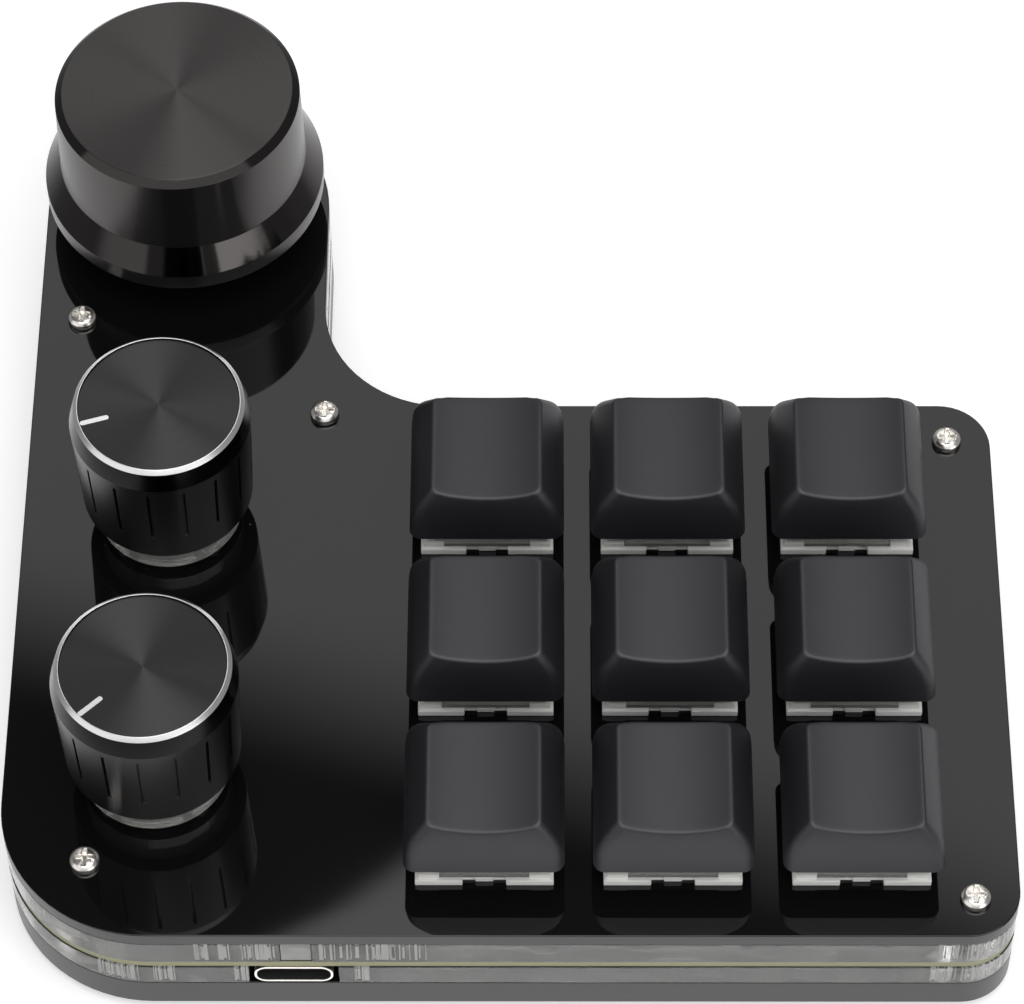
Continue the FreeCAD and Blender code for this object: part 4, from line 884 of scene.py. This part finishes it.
@dataclass
class Keycaps:
    """Nine hollow caps with sloping walls and a dished, slightly tilted top."""

    bench: Bench
    base: float = 18.1 * MM
    corner: float = 1.4 * MM
    corner_steps: int = 8
    waist_height: float = 3.5 * MM
    waist_across: float = 17.5 * MM
    waist_front: float = 8.45 * MM
    waist_back: float = 8.35 * MM
    waist_softness: float = 1.5 * MM
    waist_steps: int = 5
    top_side: float = 6.39 * MM
    top_front: float = 7.52 * MM
    top_back: float = 5.7 * MM
    front_bulge: float = 0.25 * MM
    back_bulge: float = 0.54 * MM
    side_cuts: int = 11
    rings: int = 10
    rim: float = 0.32 * MM
    rim_steps: int = 4
    rim_top: float = 0.85
    rim_wall: float = 0.75
    dish_radius: float = 21.5 * MM
    dish_floor: float = 6.75 * MM
    dish_tilt: float = math.radians(3.5)
    dish_sides: int = 320
    wall: float = 1.3 * MM
    ceiling: float = 5.5 * MM
    mouth_share: float = 0.73
    post_radius: float = 2.75 * MM
    post_foot: float = 1.25 * MM
    post_root: float = 0.325 * MM
    post_sides: int = 40
    smooth_angle: float = 32.0
    dent: float = 0.05 * MM

    def _block(self) -> Object:
        """Draw the tapered block up from a square with round corners.

        Returns:
            The block, its base centred on the origin, with rings of faces across its flat top.
        """
        self.bench.clear_selection()
        bpy.ops.mesh.primitive_plane_add(size=self.base)
        block = bpy.context.object
        self.bench.pick(block, "VERT", lambda vertex: True)
        bpy.ops.mesh.bevel(offset=self.corner, segments=self.corner_steps, affect="VERTICES")
        self.bench.stop_editing()
        self.bench.pick(block, "EDGE", lambda edge: edge.calc_length() > self.base / 2)
        bpy.ops.mesh.subdivide(number_cuts=self.side_cuts)
        bpy.ops.mesh.select_all(action="SELECT")
        bpy.ops.mesh.select_mode(type="FACE")
        across = deep = self.base
        spot = Vector((0, 0, 0))
        for wide, front, back, height in (
            (self.waist_across, self.waist_front, self.waist_back, self.waist_height),
            (2 * self.top_side, self.top_front, self.top_back, self.ceiling),
        ):
            middle = Vector((0, (back - front) / 2, height))
            bpy.ops.mesh.extrude_region_move(TRANSFORM_OT_translate={"value": middle - spot})
            bpy.ops.transform.resize(value=(wide / across, (front + back) / deep, 1.0),
                                     center_override=middle)
            across, deep, spot = wide, front + back, middle
        self.bench.stop_editing()
        self._bulge(block)
        self.bench.pick(block, "FACE",
                        lambda face: min(v.co.z for v in face.verts) > self.ceiling - self.dent)
        bpy.ops.object.vertex_group_add()
        bpy.ops.object.vertex_group_assign()
        for ring in range(self.rings, 1, -1):
            share = (ring - 1) / ring
            bpy.ops.mesh.extrude_region_move(TRANSFORM_OT_translate={"value": (0, 0, 0)})
            bpy.ops.transform.resize(value=(share, share, 1.0), center_override=middle)
            bpy.ops.object.vertex_group_assign()
        self.bench.stop_editing()
        return block

    def _bulge(self, block: Object) -> None:
        """Bow the top's front and back edges outwards."""
        step = 2 * (self.top_side - self.corner * 2 * self.top_side / self.base) / (self.side_cuts + 1)
        for edge, reach in ((-self.top_front, -self.front_bulge), (self.top_back, self.back_bulge)):
            for place in range(-(self.side_cuts // 2), self.side_cuts // 2 + 1):
                spot = Vector((place * step, edge, self.ceiling))
                self.bench.pick(block, "VERT", lambda vertex: (vertex.co - spot).length < self.dent)
                bow = reach * (1 - (spot.x / self.top_side) ** 2)
                bpy.ops.transform.translate(value=(0, bow, 0))
                self.bench.stop_editing()

    def _dish(self, block: Object) -> None:
        """Press the top onto a tilted roller and round its rim."""
        reach = self.dish_floor + self.dish_radius
        centre = (0, -math.sin(self.dish_tilt) * reach, math.cos(self.dish_tilt) * reach)
        self.bench.clear_selection()
        bpy.ops.mesh.primitive_cylinder_add(
            vertices=self.dish_sides, radius=self.dish_radius, depth=2 * self.base,
            location=centre, rotation=(self.dish_tilt - math.pi / 2, 0, 0))
        roller = bpy.context.object
        self.bench.settle(roller)
        self.bench.take(block)
        press = block.modifiers.new("dish", "SHRINKWRAP")
        press.wrap_method = "PROJECT"
        press.use_project_z = True
        press.target = roller
        press.vertex_group = block.vertex_groups[0].name
        bpy.ops.object.modifier_apply(modifier=press.name)
        bpy.data.objects.remove(roller)
        block.vertex_groups.clear()

        def on_rim(edge: bmesh.types.BMEdge) -> bool:
            """True for an edge between the dish and a wall."""
            if len(edge.link_faces) != 2:
                return False
            slopes = sorted(abs(face.normal.z) for face in edge.link_faces)
            above = min(vertex.co.z for vertex in edge.verts) > self.ceiling
            return above and slopes[1] > self.rim_top and slopes[0] < self.rim_wall

        self.bench.pick(block, "EDGE", on_rim)
        bpy.ops.mesh.bevel(offset=self.rim, segments=self.rim_steps, affect="EDGES", clamp_overlap=False)
        self.bench.stop_editing()
        self.bench.pick(block, "EDGE",
                        lambda edge: all(abs(v.co.z - self.waist_height) < self.dent for v in edge.verts))
        bpy.ops.mesh.bevel(offset=self.waist_softness, segments=self.waist_steps, affect="EDGES",
                           clamp_overlap=False)
        self.bench.stop_editing()

    def _hollow(self, block: Object) -> None:
        """Open the underside and put the post in."""
        self.bench.pick(block, "FACE", lambda face: face.calc_center_median().z < self.dent)
        bpy.ops.mesh.inset(thickness=self.wall)
        shift = (self.top_back - self.top_front) / 2 * self.mouth_share
        bpy.ops.mesh.extrude_region_move(TRANSFORM_OT_translate={"value": (0, 0, self.ceiling)})
        bpy.ops.transform.resize(value=(self.mouth_share, self.mouth_share, 1.0),
                                 center_override=(0, 0, self.ceiling))
        bpy.ops.transform.translate(value=(0, shift, 0))
        self.bench.stop_editing()
        self.bench.clear_selection()
        length = self.ceiling - self.post_foot + self.post_root
        bpy.ops.mesh.primitive_cylinder_add(vertices=self.post_sides, radius=self.post_radius, depth=length,
                                            location=(0, 0, self.post_foot + length / 2))
        post = bpy.context.object
        self.bench.settle(post)
        self.bench.unite((block, post))

    def build(self) -> None:
        """Model one cap and place nine copies."""
        model = self._block()
        self._dish(model)
        self._hollow(model)
        self.bench.clean(model, self.smooth_angle)
        for row in (1, 2, 3):
            for column in (1, 2, 3):
                label = f"{row}_{column}"
                low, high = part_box(f"keycap_{label}")
                mesh = model.data.copy()
                mesh.transform(Matrix.Translation(((low.x + high.x) / 2, (low.y + high.y) / 2, low.z)))
                cap = bpy.data.objects.new(f"cap_{label}", mesh)
                bpy.context.scene.collection.objects.link(cap)
                self.bench.mount(cap, f"cap_{label}", f"key_{label}", "keycap_plastic", "keycap_plastic",
                                 [f"keycap_{label}"])
        bpy.data.objects.remove(model)


@dataclass
class Switches:
    """The key switches' fixed halves, whose flanges and clear hoods show under the caps."""

    bench: Bench
    flange_edge: float = 0.12 * MM
    hood_edge: float = 0.25 * MM
    hood_gap: float = 0.02 * MM
    cheek_inner: float = 5.05 * MM
    cheek_outer: float = 7.45 * MM
    cheek_depth: float = 3.0 * MM
    cheek_sink: float = 0.1 * MM
    cheek_height: float = 0.75 * MM

    def _cheeks(self, level: float) -> Object:
        """Low white blocks on the front corners of every flange.

        Args:
            level: Height of the flanges' top.

        Returns:
            The joined blocks.
        """
        blocks = []
        for row in (1, 2, 3):
            for column in (1, 2, 3):
                low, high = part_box(f"key_stem_{row}_{column}")
                x, y = (low.x + high.x) / 2, (low.y + high.y) / 2
                for side in (-1, 1):
                    start, end = sorted((side * self.cheek_inner, side * self.cheek_outer))
                    blocks.append(self.bench.box(
                        (x + start, y - self.cheek_outer, level - self.cheek_sink),
                        (x + end, y - self.cheek_outer + self.cheek_depth, level + self.cheek_height)))
        cheeks = self.bench.unite(blocks)
        self.bench.pick(cheeks, "EDGE", lambda edge: True)
        bpy.ops.mesh.bevel(offset=self.flange_edge, segments=2, affect="EDGES")
        self.bench.stop_editing()
        self.bench.smooth(cheeks)
        return cheeks

    def build(self) -> None:
        """Make both halves."""
        lower = self.bench.copy_node("switch_lower_housings", self.flange_edge)
        self.bench.mount(lower, "switch_flanges", "root", "white_nylon", "white_nylon",
                         ["switch_lower_housings"])
        upper = self.bench.copy_node("switch_upper_housings", self.hood_edge, shrink=self.hood_gap)
        self.bench.mount(upper, "switch_hoods", "root", "clear_housing", "clear_housing",
                         ["switch_upper_housings"])
        cheeks = self._cheeks(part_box("switch_lower_housings")[1].z)
        self.bench.mount(cheeks, "flange_cheeks", "root", "white_nylon", "white_nylon")


@dataclass
class BigKnob:
    """The large solid knob, turned from one bar."""

    bench: Bench
    cover: float
    steps: int = 160
    colour: Colour = (0.075, 0.07, 0.069, 1.0)
    roughness: float = 0.3
    smooth_angle: float = math.radians(28)
    polish_from: float = 7.9 * MM
    polish_slope: Point = (0.3, 0.9)
    screw_radius: float = 1.5 * MM
    screw_height: float = 13.0 * MM
    screw_sides: int = 40

    def _corners(self) -> list[tuple[float, float, float]]:
        """The half profile's corners: radius, height over the cover, rounding.

        Returns:
            Corners in metres, from the bore's end round to the top's centre.
        """
        corners = [
            (0.0, 15.8, 0.0), (3.05, 15.8, 0.0), (3.05, 7.5, 0.0), (4.2, 7.5, 0.0), (4.2, 5.5, 0.1),
            (16.8, 5.5, 0.12), (17.1, 5.8, 0.12), (17.1, 7.95, 0.12), (15.05, 11.2, 0.25),
            (14.8, 22.0, 0.1), (13.95, 22.85, 0.1), (0.0, 22.85, 0.0),
        ]
        return [(radius * MM, height * MM, rounding * MM) for radius, height, rounding in corners]

    def build(self) -> None:
        """Turn the knob, drill it for its grub screw and mount it."""
        knob = self.bench.lathe(self.bench.round_corners(self._corners()), self.steps)
        self.bench.clean(knob)
        self.bench.clear_selection()
        low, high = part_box("big_knob")
        reach = (high.x - low.x) / 2
        bpy.ops.mesh.primitive_cylinder_add(vertices=self.screw_sides, radius=self.screw_radius, depth=reach,
                                            location=(0, reach / 2, self.screw_height),
                                            rotation=(math.pi / 2, 0, 0))
        drill = bpy.context.object
        self.bench.settle(drill)
        self.bench.carve(knob, drill)
        centre = ((low.x + high.x) / 2, (low.y + high.y) / 2)
        knob.data.transform(Matrix.Translation((centre[0], centre[1], self.cover)))
        self.bench.take(knob)
        bpy.ops.object.shade_smooth_by_angle(angle=self.smooth_angle)
        finish = self.bench.finishes.turned("turned_black_back", centre, self.colour, self.roughness)
        knob.data.materials.append(finish)
        knob.data.materials.append(self.bench.finishes.get("polished_black"))
        shallow, steep = self.polish_slope
        for face in knob.data.polygons:
            if face.center.z > self.cover + self.polish_from and shallow < face.normal.z < steep:
                face.material_index = 1
        self.bench.mount(knob, "large_knob", Knob.BACK.body, "black_anodised", finish, ["big_knob"])


@dataclass
class SmallKnob:
    """A slotted shell with a bright cut ring, an inlaid pointer and a clear core."""

    bench: Bench
    knob: Knob
    cover: float
    pointer_angle: float
    steps: int = 144
    smooth_angle: float = math.radians(28)
    colour: Colour = (0.06, 0.058, 0.06, 1.0)
    roughness: float = 0.3
    slit_count: int = 16
    slit_width: float = 0.4 * MM
    slit_inner: float = 9.75 * MM
    slit_outer: float = 11.0 * MM
    slit_low: float = 9.4 * MM
    slit_high: float = 18.3 * MM
    face: float = 21.95 * MM
    ring_inner: float = 9.25 * MM
    ring_low: float = 21.74 * MM
    ring_slope: float = 0.5
    shoulder_low: float = 19.3 * MM
    shoulder_slope: float = 0.15
    pointer_inner: float = 5.9 * MM
    pointer_outer: float = 9.3 * MM
    pointer_width: float = 0.62 * MM
    pointer_depth: float = 0.25 * MM
    pointer_proud: float = 0.02 * MM
    pointer_rounding: float = 0.48
    pointer_steps: int = 6
    pointer_smooth: float = 30.0
    core_edge: float = 0.12 * MM
    core_angle: float = 50.0

    def _corners(self) -> list[tuple[float, float, float]]:
        """The shell's half profile: radius, height over the cover, rounding.

        Returns:
            Corners in metres, from the roof's underside round to the face's centre.
        """
        corners = [
            (0.0, 20.55, 0.0), (8.55, 20.55, 0.2), (8.55, 5.6, 0.1), (10.0, 5.6, 0.2), (10.5, 19.4, 0.12),
            (9.9, 21.75, 0.04), (9.45, 22.2, 0.04), (9.35, 22.2, 0.03), (9.3, 21.95, 0.0), (0.0, 21.95, 0.0),
        ]
        return [(radius * MM, height * MM, rounding * MM) for radius, height, rounding in corners]

    def _slits(self) -> Object:
        """Sixteen thin blocks that cut the slits.

        Returns:
            The joined blocks.
        """
        blocks = []
        for index in range(self.slit_count):
            block = self.bench.box((self.slit_inner, -self.slit_width / 2, self.slit_low),
                                   (self.slit_outer, self.slit_width / 2, self.slit_high))
            block.data.transform(Matrix.Rotation(2 * math.pi * index / self.slit_count, 4, "Z"))
            blocks.append(block)
        return self.bench.unite(blocks)

    def _centre(self) -> Point:
        """The knob's axis."""
        low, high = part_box(f"encoder_shaft_{self.knob.value}")
        return (low.x + high.x) / 2, (low.y + high.y) / 2

    def _place(self, obj: Object) -> None:
        """Turn a piece to the pointer's angle and move it to the knob's axis."""
        x, y = self._centre()
        turned = Matrix.Rotation(self.pointer_angle, 4, "Z")
        obj.data.transform(Matrix.Translation((x, y, self.cover)) @ turned)

    def _shell(self) -> None:
        """Turn and slot the shell."""
        shell = self.bench.lathe(self.bench.round_corners(self._corners()), self.steps)
        self.bench.clean(shell)
        self.bench.carve(shell, self._slits())
        self._place(shell)
        self.bench.take(shell)
        bpy.ops.object.shade_smooth_by_angle(angle=self.smooth_angle)
        name = self.knob.value
        finish = self.bench.finishes.turned(f"turned_black_{name}", self._centre(), self.colour,
                                            self.roughness)
        shell.data.materials.clear()
        shell.data.materials.append(finish)
        shell.data.materials.append(self.bench.finishes.get("bright_cut"))
        shell.data.materials.append(self.bench.finishes.get("shoulder_painted_shade"))
        x, y = self._centre()
        for face in shell.data.polygons:
            out = math.hypot(face.center.x - x, face.center.y - y)
            up = face.center.z - self.cover
            if out > self.ring_inner and up > self.ring_low and face.normal.z > self.ring_slope:
                face.material_index = 1
            # Faces on the shoulder take the darker finish: painted shade.
            elif up > self.shoulder_low and self.shoulder_slope < face.normal.z < self.ring_slope:
                face.material_index = 2
        self.bench.mount(shell, f"slotted_shell_{name}", self.knob.body, "black_anodised", finish,
                         [f"small_knob_shell_{name}"])

    def _pointer(self) -> None:
        """Lay the bright pointer in."""
        top = self.face + self.pointer_proud
        inlay = self.bench.box((self.pointer_inner, -self.pointer_width / 2, top - self.pointer_depth),
                               (self.pointer_outer, self.pointer_width / 2, top))
        self.bench.pick(inlay, "EDGE",
                        lambda edge: abs(edge.verts[0].co.z - edge.verts[1].co.z) > self.pointer_depth / 2)
        bpy.ops.mesh.bevel(offset=self.pointer_width * self.pointer_rounding, segments=self.pointer_steps,
                           affect="EDGES", clamp_overlap=False)
        self.bench.stop_editing()
        self._place(inlay)
        self.bench.clean(inlay, self.pointer_smooth)
        self.bench.mount(inlay, f"pointer_{self.knob.value}", self.knob.body, "nickel", "bright_cut")

    def build(self) -> None:
        """Make the shell, the pointer and the core."""
        self._shell()
        self._pointer()
        node = f"small_knob_core_{self.knob.value}"
        core = self.bench.copy_node(node, self.core_edge, angle=self.core_angle)
        self.bench.mount(core, f"clear_core_{self.knob.value}", self.knob.body, "clear_core", "clear_core",
                         [node])


@dataclass
class Hardware:
    """Screws and the socket, whose edges catch the light, and the frame's own inner pieces."""

    bench: Bench
    socket_wall: float = 0.2 * MM
    edge_angle: float = 30.0
    edges: dict[str, float] = field(default_factory=lambda: {
        "top_screws": 0.07 * MM,
        "bottom_screws": 0.07 * MM,
        "usb_c_shell": 0.05 * MM,
    })

    def _paint_socket_shade(self, piece: Object, node: str) -> None:
        """Paint shade on the socket's inner walls: they take the dark chip finish.

        Args:
            piece: The finished shell.
            node: The frame node that it stands for.
        """
        low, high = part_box(node)
        piece.data.materials.append(self.bench.finishes.get("chip_black"))
        for face in piece.data.polygons:
            spot = face.center
            within = all(low[axis] + self.socket_wall < spot[axis] < high[axis] - self.socket_wall
                         for axis in (0, 2))
            if within and spot.y > low.y + self.socket_wall:
                face.material_index = 1

    def build(self) -> None:
        """Dress every node that no other class has replaced."""
        for node, bevel in self.edges.items():
            piece = self.bench.copy_node(node, bevel, angle=self.edge_angle)
            self.bench.mount(piece, f"{node}_finished", "root", "nickel", "nickel", [node])
            if node == "usb_c_shell":
                # Painted shade inside the socket.
                self._paint_socket_shade(piece, node)
        slots = {entry["node"]: entry["material_slot"] for entry in frame["record"]["subparts"]}
        for node, obj in frame["nodes"].items():
            if obj.hide_render:
                continue
            finish = self.bench.finishes.get(slots[node])
            obj.data.materials.clear()
            obj.data.materials.append(finish)
            LOG.info("%s keeps its shape with %s", node, finish.name)


@dataclass(frozen=True)
class Band:
    """A range of a value, with a soft edge outside each end."""

    low: float
    high: float
    soft: float

    def mask(self, graph: Graph, value: NodeSocket) -> NodeSocket:
        """Mask that is 1 while a value lies in the range.

        Args:
            graph: The world's graph.
            value: Socket to test.

        Returns:
            The mask.
        """
        rising = graph.ramp(value, self.low - self.soft, self.low, 0.0, 1.0)
        return graph.maths("MULTIPLY", rising, graph.ramp(value, self.high, self.high + self.soft, 1.0, 0.0))


@dataclass
class Studio:
    """Floor, lamp, surroundings and the camera."""

    focal: float = 4535.4
    image_width: int = 1024
    sensor: float = 36.0
    eye: tuple[float, float, float] = (4.24 * MM, -310.6 * MM, 459.3 * MM)
    pitch: float = 0.96122
    yaw: float = 0.012613
    roll: float = -0.010222
    floor_size: float = 6.0
    floor_colour: Colour = grey(0.82)
    floor_roughness: float = 0.9
    floor_glow: float = 0.45
    floor_near: float = 0.085
    floor_far: float = 0.17
    lamp_place: tuple[float, float, float] = (0.13, -0.25, 1.0)
    lamp_width: float = 0.96
    lamp_depth: float = 0.9
    lamp_power: float = 7.4
    horizon: float = 0.02
    overhead: float = 0.06
    sides: float = 0.22
    dusk: Point = (1.5, 1.9)
    disc_centre: Point = (-0.51, -0.79)
    disc_edge: Point = (1.465, 1.525)
    panel: float = 1.3
    panel_across: Band = Band(-0.33, 0.33, 0.2)
    panel_deep: Band = Band(0.2, 1.3, 0.3)
    window: float = 1.7
    window_across: Band = Band(-0.075, -0.025, 0.012)
    window_deep: Band = Band(0.3, 0.611, 0.012)
    window_lean: float = -0.864
    walls: float = 0.85
    walls_bearing: float = -100.0
    walls_turn: Band = Band(0.33, 1.0, 0.06)
    walls_rise: Band = Band(0.04, 0.74, 0.06)
    gap: float = 0.9
    gap_bearing: float = -91.0
    gap_turn: Band = Band(0.915, 1.0, 0.03)
    gap_rise: Band = Band(-1.0, 0.4, 0.05)
    strip: float = 2.4
    strip_bearing: float = -47.0
    strip_turn: Band = Band(0.95, 1.0, 0.01)
    strip_rise: Band = Band(0.1, 0.34, 0.02)

    def camera(self) -> None:
        """Stand the camera where the picture was taken."""
        data = bpy.data.cameras.new("camera")
        data.sensor_width = self.sensor
        data.sensor_fit = "HORIZONTAL"
        data.lens = self.focal / self.image_width * self.sensor
        data.clip_start = 0.01
        data.clip_end = 20.0
        turn = Matrix.Rotation(self.yaw, 3, "Z")
        forward = turn @ Vector((0, math.cos(self.pitch), -math.sin(self.pitch)))
        right = turn @ Vector((1, 0, 0))
        up = turn @ Vector((0, math.sin(self.pitch), math.cos(self.pitch)))
        across = math.cos(self.roll) * right + math.sin(self.roll) * up
        upward = math.cos(self.roll) * up - math.sin(self.roll) * right
        camera = bpy.data.objects.new("camera", data)
        bpy.context.scene.collection.objects.link(camera)
        axes = Matrix((across, upward, -forward)).transposed().to_4x4()
        camera.matrix_world = Matrix.Translation(Vector(self.eye)) @ axes
        bpy.context.scene.camera = camera

    def floor(self) -> None:
        """A wide pale floor that keeps the keypad's shadow."""
        Bench.clear_selection()
        bpy.ops.mesh.primitive_plane_add(size=self.floor_size, location=(0, 0, 0))
        floor = bpy.context.object
        floor.name = "floor"
        material = bpy.data.materials.new("pale_floor")
        material.use_nodes = True
        graph = Graph(material.node_tree)
        shader = material.node_tree.nodes["Principled BSDF"]
        shader.inputs["Roughness"].default_value = self.floor_roughness
        rays = graph.add("LightPath").outputs
        away = graph.length(graph.add("TexCoord").outputs["Object"])
        far = graph.ramp(away, self.floor_near, self.floor_far, 1.0, self.sides)
        kept = graph.maths("MAXIMUM", far, rays["Is Camera Ray"])
        graph.join(graph.mix(kept, grey(0.0), self.floor_colour), shader.inputs["Base Color"])
        seen = graph.maths("ADD", rays["Is Camera Ray"], rays["Is Glossy Ray"])
        seen = graph.maths("MINIMUM", graph.maths("MAXIMUM", seen, rays["Is Transmission Ray"]), 1.0)
        strength = graph.maths("MULTIPLY", seen, graph.maths("MULTIPLY", kept, self.floor_glow))
        shader.inputs["Emission Color"].default_value = grey(1.0)
        graph.join(strength, shader.inputs["Emission Strength"])
        floor.data.materials.append(material)

    @staticmethod
    def _bearing(graph: Graph, flat: NodeSocket, degrees: float) -> NodeSocket:
        """Cosine of the turn between a level direction and a bearing.

        Args:
            graph: The world's graph.
            flat: The level direction, one long.
            degrees: The bearing, counted from the right towards the back.

        Returns:
            The cosine.
        """
        towards = (math.cos(math.radians(degrees)), math.sin(math.radians(degrees)), 0.0)
        return graph.add("VectorMath", operation="DOT_PRODUCT", inputs={0: flat, 1: towards}).outputs["Value"]

    @staticmethod
    def _patch(graph: Graph, first: tuple[Band, NodeSocket],
               second: tuple[Band, NodeSocket]) -> NodeSocket:
        """Mask that is 1 where two values lie in their bands.

        Args:
            graph: The world's graph.
            first: A band and the value that it tests.
            second: A band and the value that it tests.

        Returns:
            The mask.
        """
        return graph.maths("MULTIPLY", first[0].mask(graph, first[1]), second[0].mask(graph, second[1]))

    def surroundings(self) -> None:
        """Dark room with a white panel and a small window behind, white walls in front with a dark gap
        between them, and a strip lamp on the front right."""
        world = bpy.data.worlds.new("studio")
        bpy.context.scene.world = world
        world.use_nodes = True
        graph = Graph(world.node_tree)
        background = world.node_tree.nodes["Background"]
        parts = graph.add("SeparateXYZ", inputs={0: graph.add("TexCoord").outputs["Generated"]}).outputs
        rise = parts["Z"]
        height = graph.maths("MAXIMUM", rise, self.horizon)
        level = graph.add("CombineXYZ", inputs={"X": parts["X"], "Y": parts["Y"]}).outputs[0]
        flat = graph.add("VectorMath", operation="NORMALIZE", inputs={0: level}).outputs[0]
        across = graph.maths("DIVIDE", parts["X"], height)
        deep = graph.maths("DIVIDE", parts["Y"], height)
        spot = graph.add("CombineXYZ", inputs={
            "X": graph.maths("ADD", across, -self.disc_centre[0]),
            "Y": graph.maths("ADD", deep, -self.disc_centre[1])})
        distance = graph.length(spot.outputs[0])
        panel = self._patch(graph, (self.panel_across, across), (self.panel_deep, deep))
        panel = graph.maths("MULTIPLY", graph.ramp(distance, *self.disc_edge, 0.0, 1.0), panel)
        slanted = graph.maths("MULTIPLY_ADD", across, self.window_lean, deep)
        window = self._patch(graph, (self.window_across, across), (self.window_deep, slanted))
        turns = [self._bearing(graph, flat, bearing)
                 for bearing in (self.walls_bearing, self.gap_bearing, self.strip_bearing)]
        walls = self._patch(graph, (self.walls_turn, turns[0]), (self.walls_rise, rise))
        gap = self._patch(graph, (self.gap_turn, turns[1]), (self.gap_rise, rise))
        strip = self._patch(graph, (self.strip_turn, turns[2]), (self.strip_rise, rise))
        open_share = graph.maths("SUBTRACT", 1.0, graph.maths("MULTIPLY", gap, self.gap))
        walls = graph.maths("MULTIPLY", walls, open_share)
        shown = graph.ramp(distance, *self.dusk, self.overhead, self.sides)
        for mask, brightness in ((panel, self.panel), (window, self.window), (walls, self.walls),
                                 (strip, self.strip)):
            shown = graph.maths("MAXIMUM", shown, graph.maths("MULTIPLY", mask, brightness))
        rays = graph.add("LightPath").outputs
        plain = graph.maths("MAXIMUM", rays["Is Camera Ray"], rays["Is Transmission Ray"])
        graph.join(graph.maths("MAXIMUM", plain, shown), background.inputs["Strength"])
        background.inputs["Color"].default_value = grey(1.0)

    def lamp(self) -> None:
        """One broad soft lamp overhead."""
        data = bpy.data.lights.new("overhead_lamp", "AREA")
        data.energy = self.lamp_power
        data.shape = "RECTANGLE"
        data.size = self.lamp_width
        data.size_y = self.lamp_depth
        lamp = bpy.data.objects.new("overhead_lamp", data)
        bpy.context.scene.collection.objects.link(lamp)
        place = Vector(self.lamp_place)
        lamp.matrix_world = Matrix.Translation(place) @ place.to_track_quat("Z", "Y").to_matrix().to_4x4()

    def build(self) -> None:
        """Set the scene up."""
        self.floor()
        self.surroundings()
        self.lamp()
        self.camera()
        bpy.context.scene.view_settings.view_transform = "Standard"


def main() -> None:
    """Build every sub-assembly in order."""
    logging.basicConfig(level=logging.INFO, format="%(name)s %(message)s")
    bench = Bench(Finishes())
    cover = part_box("top_plate")[1].z
    PlateStack(bench).build()
    Switches(bench).build()
    Keycaps(bench).build()
    BigKnob(bench, cover).build()
    for knob, bearing in POINTERS.items():
        SmallKnob(bench, knob, cover, math.radians(bearing)).build()
    Hardware(bench).build()
    Studio().build()


if __name__ == "__main__":
    main()
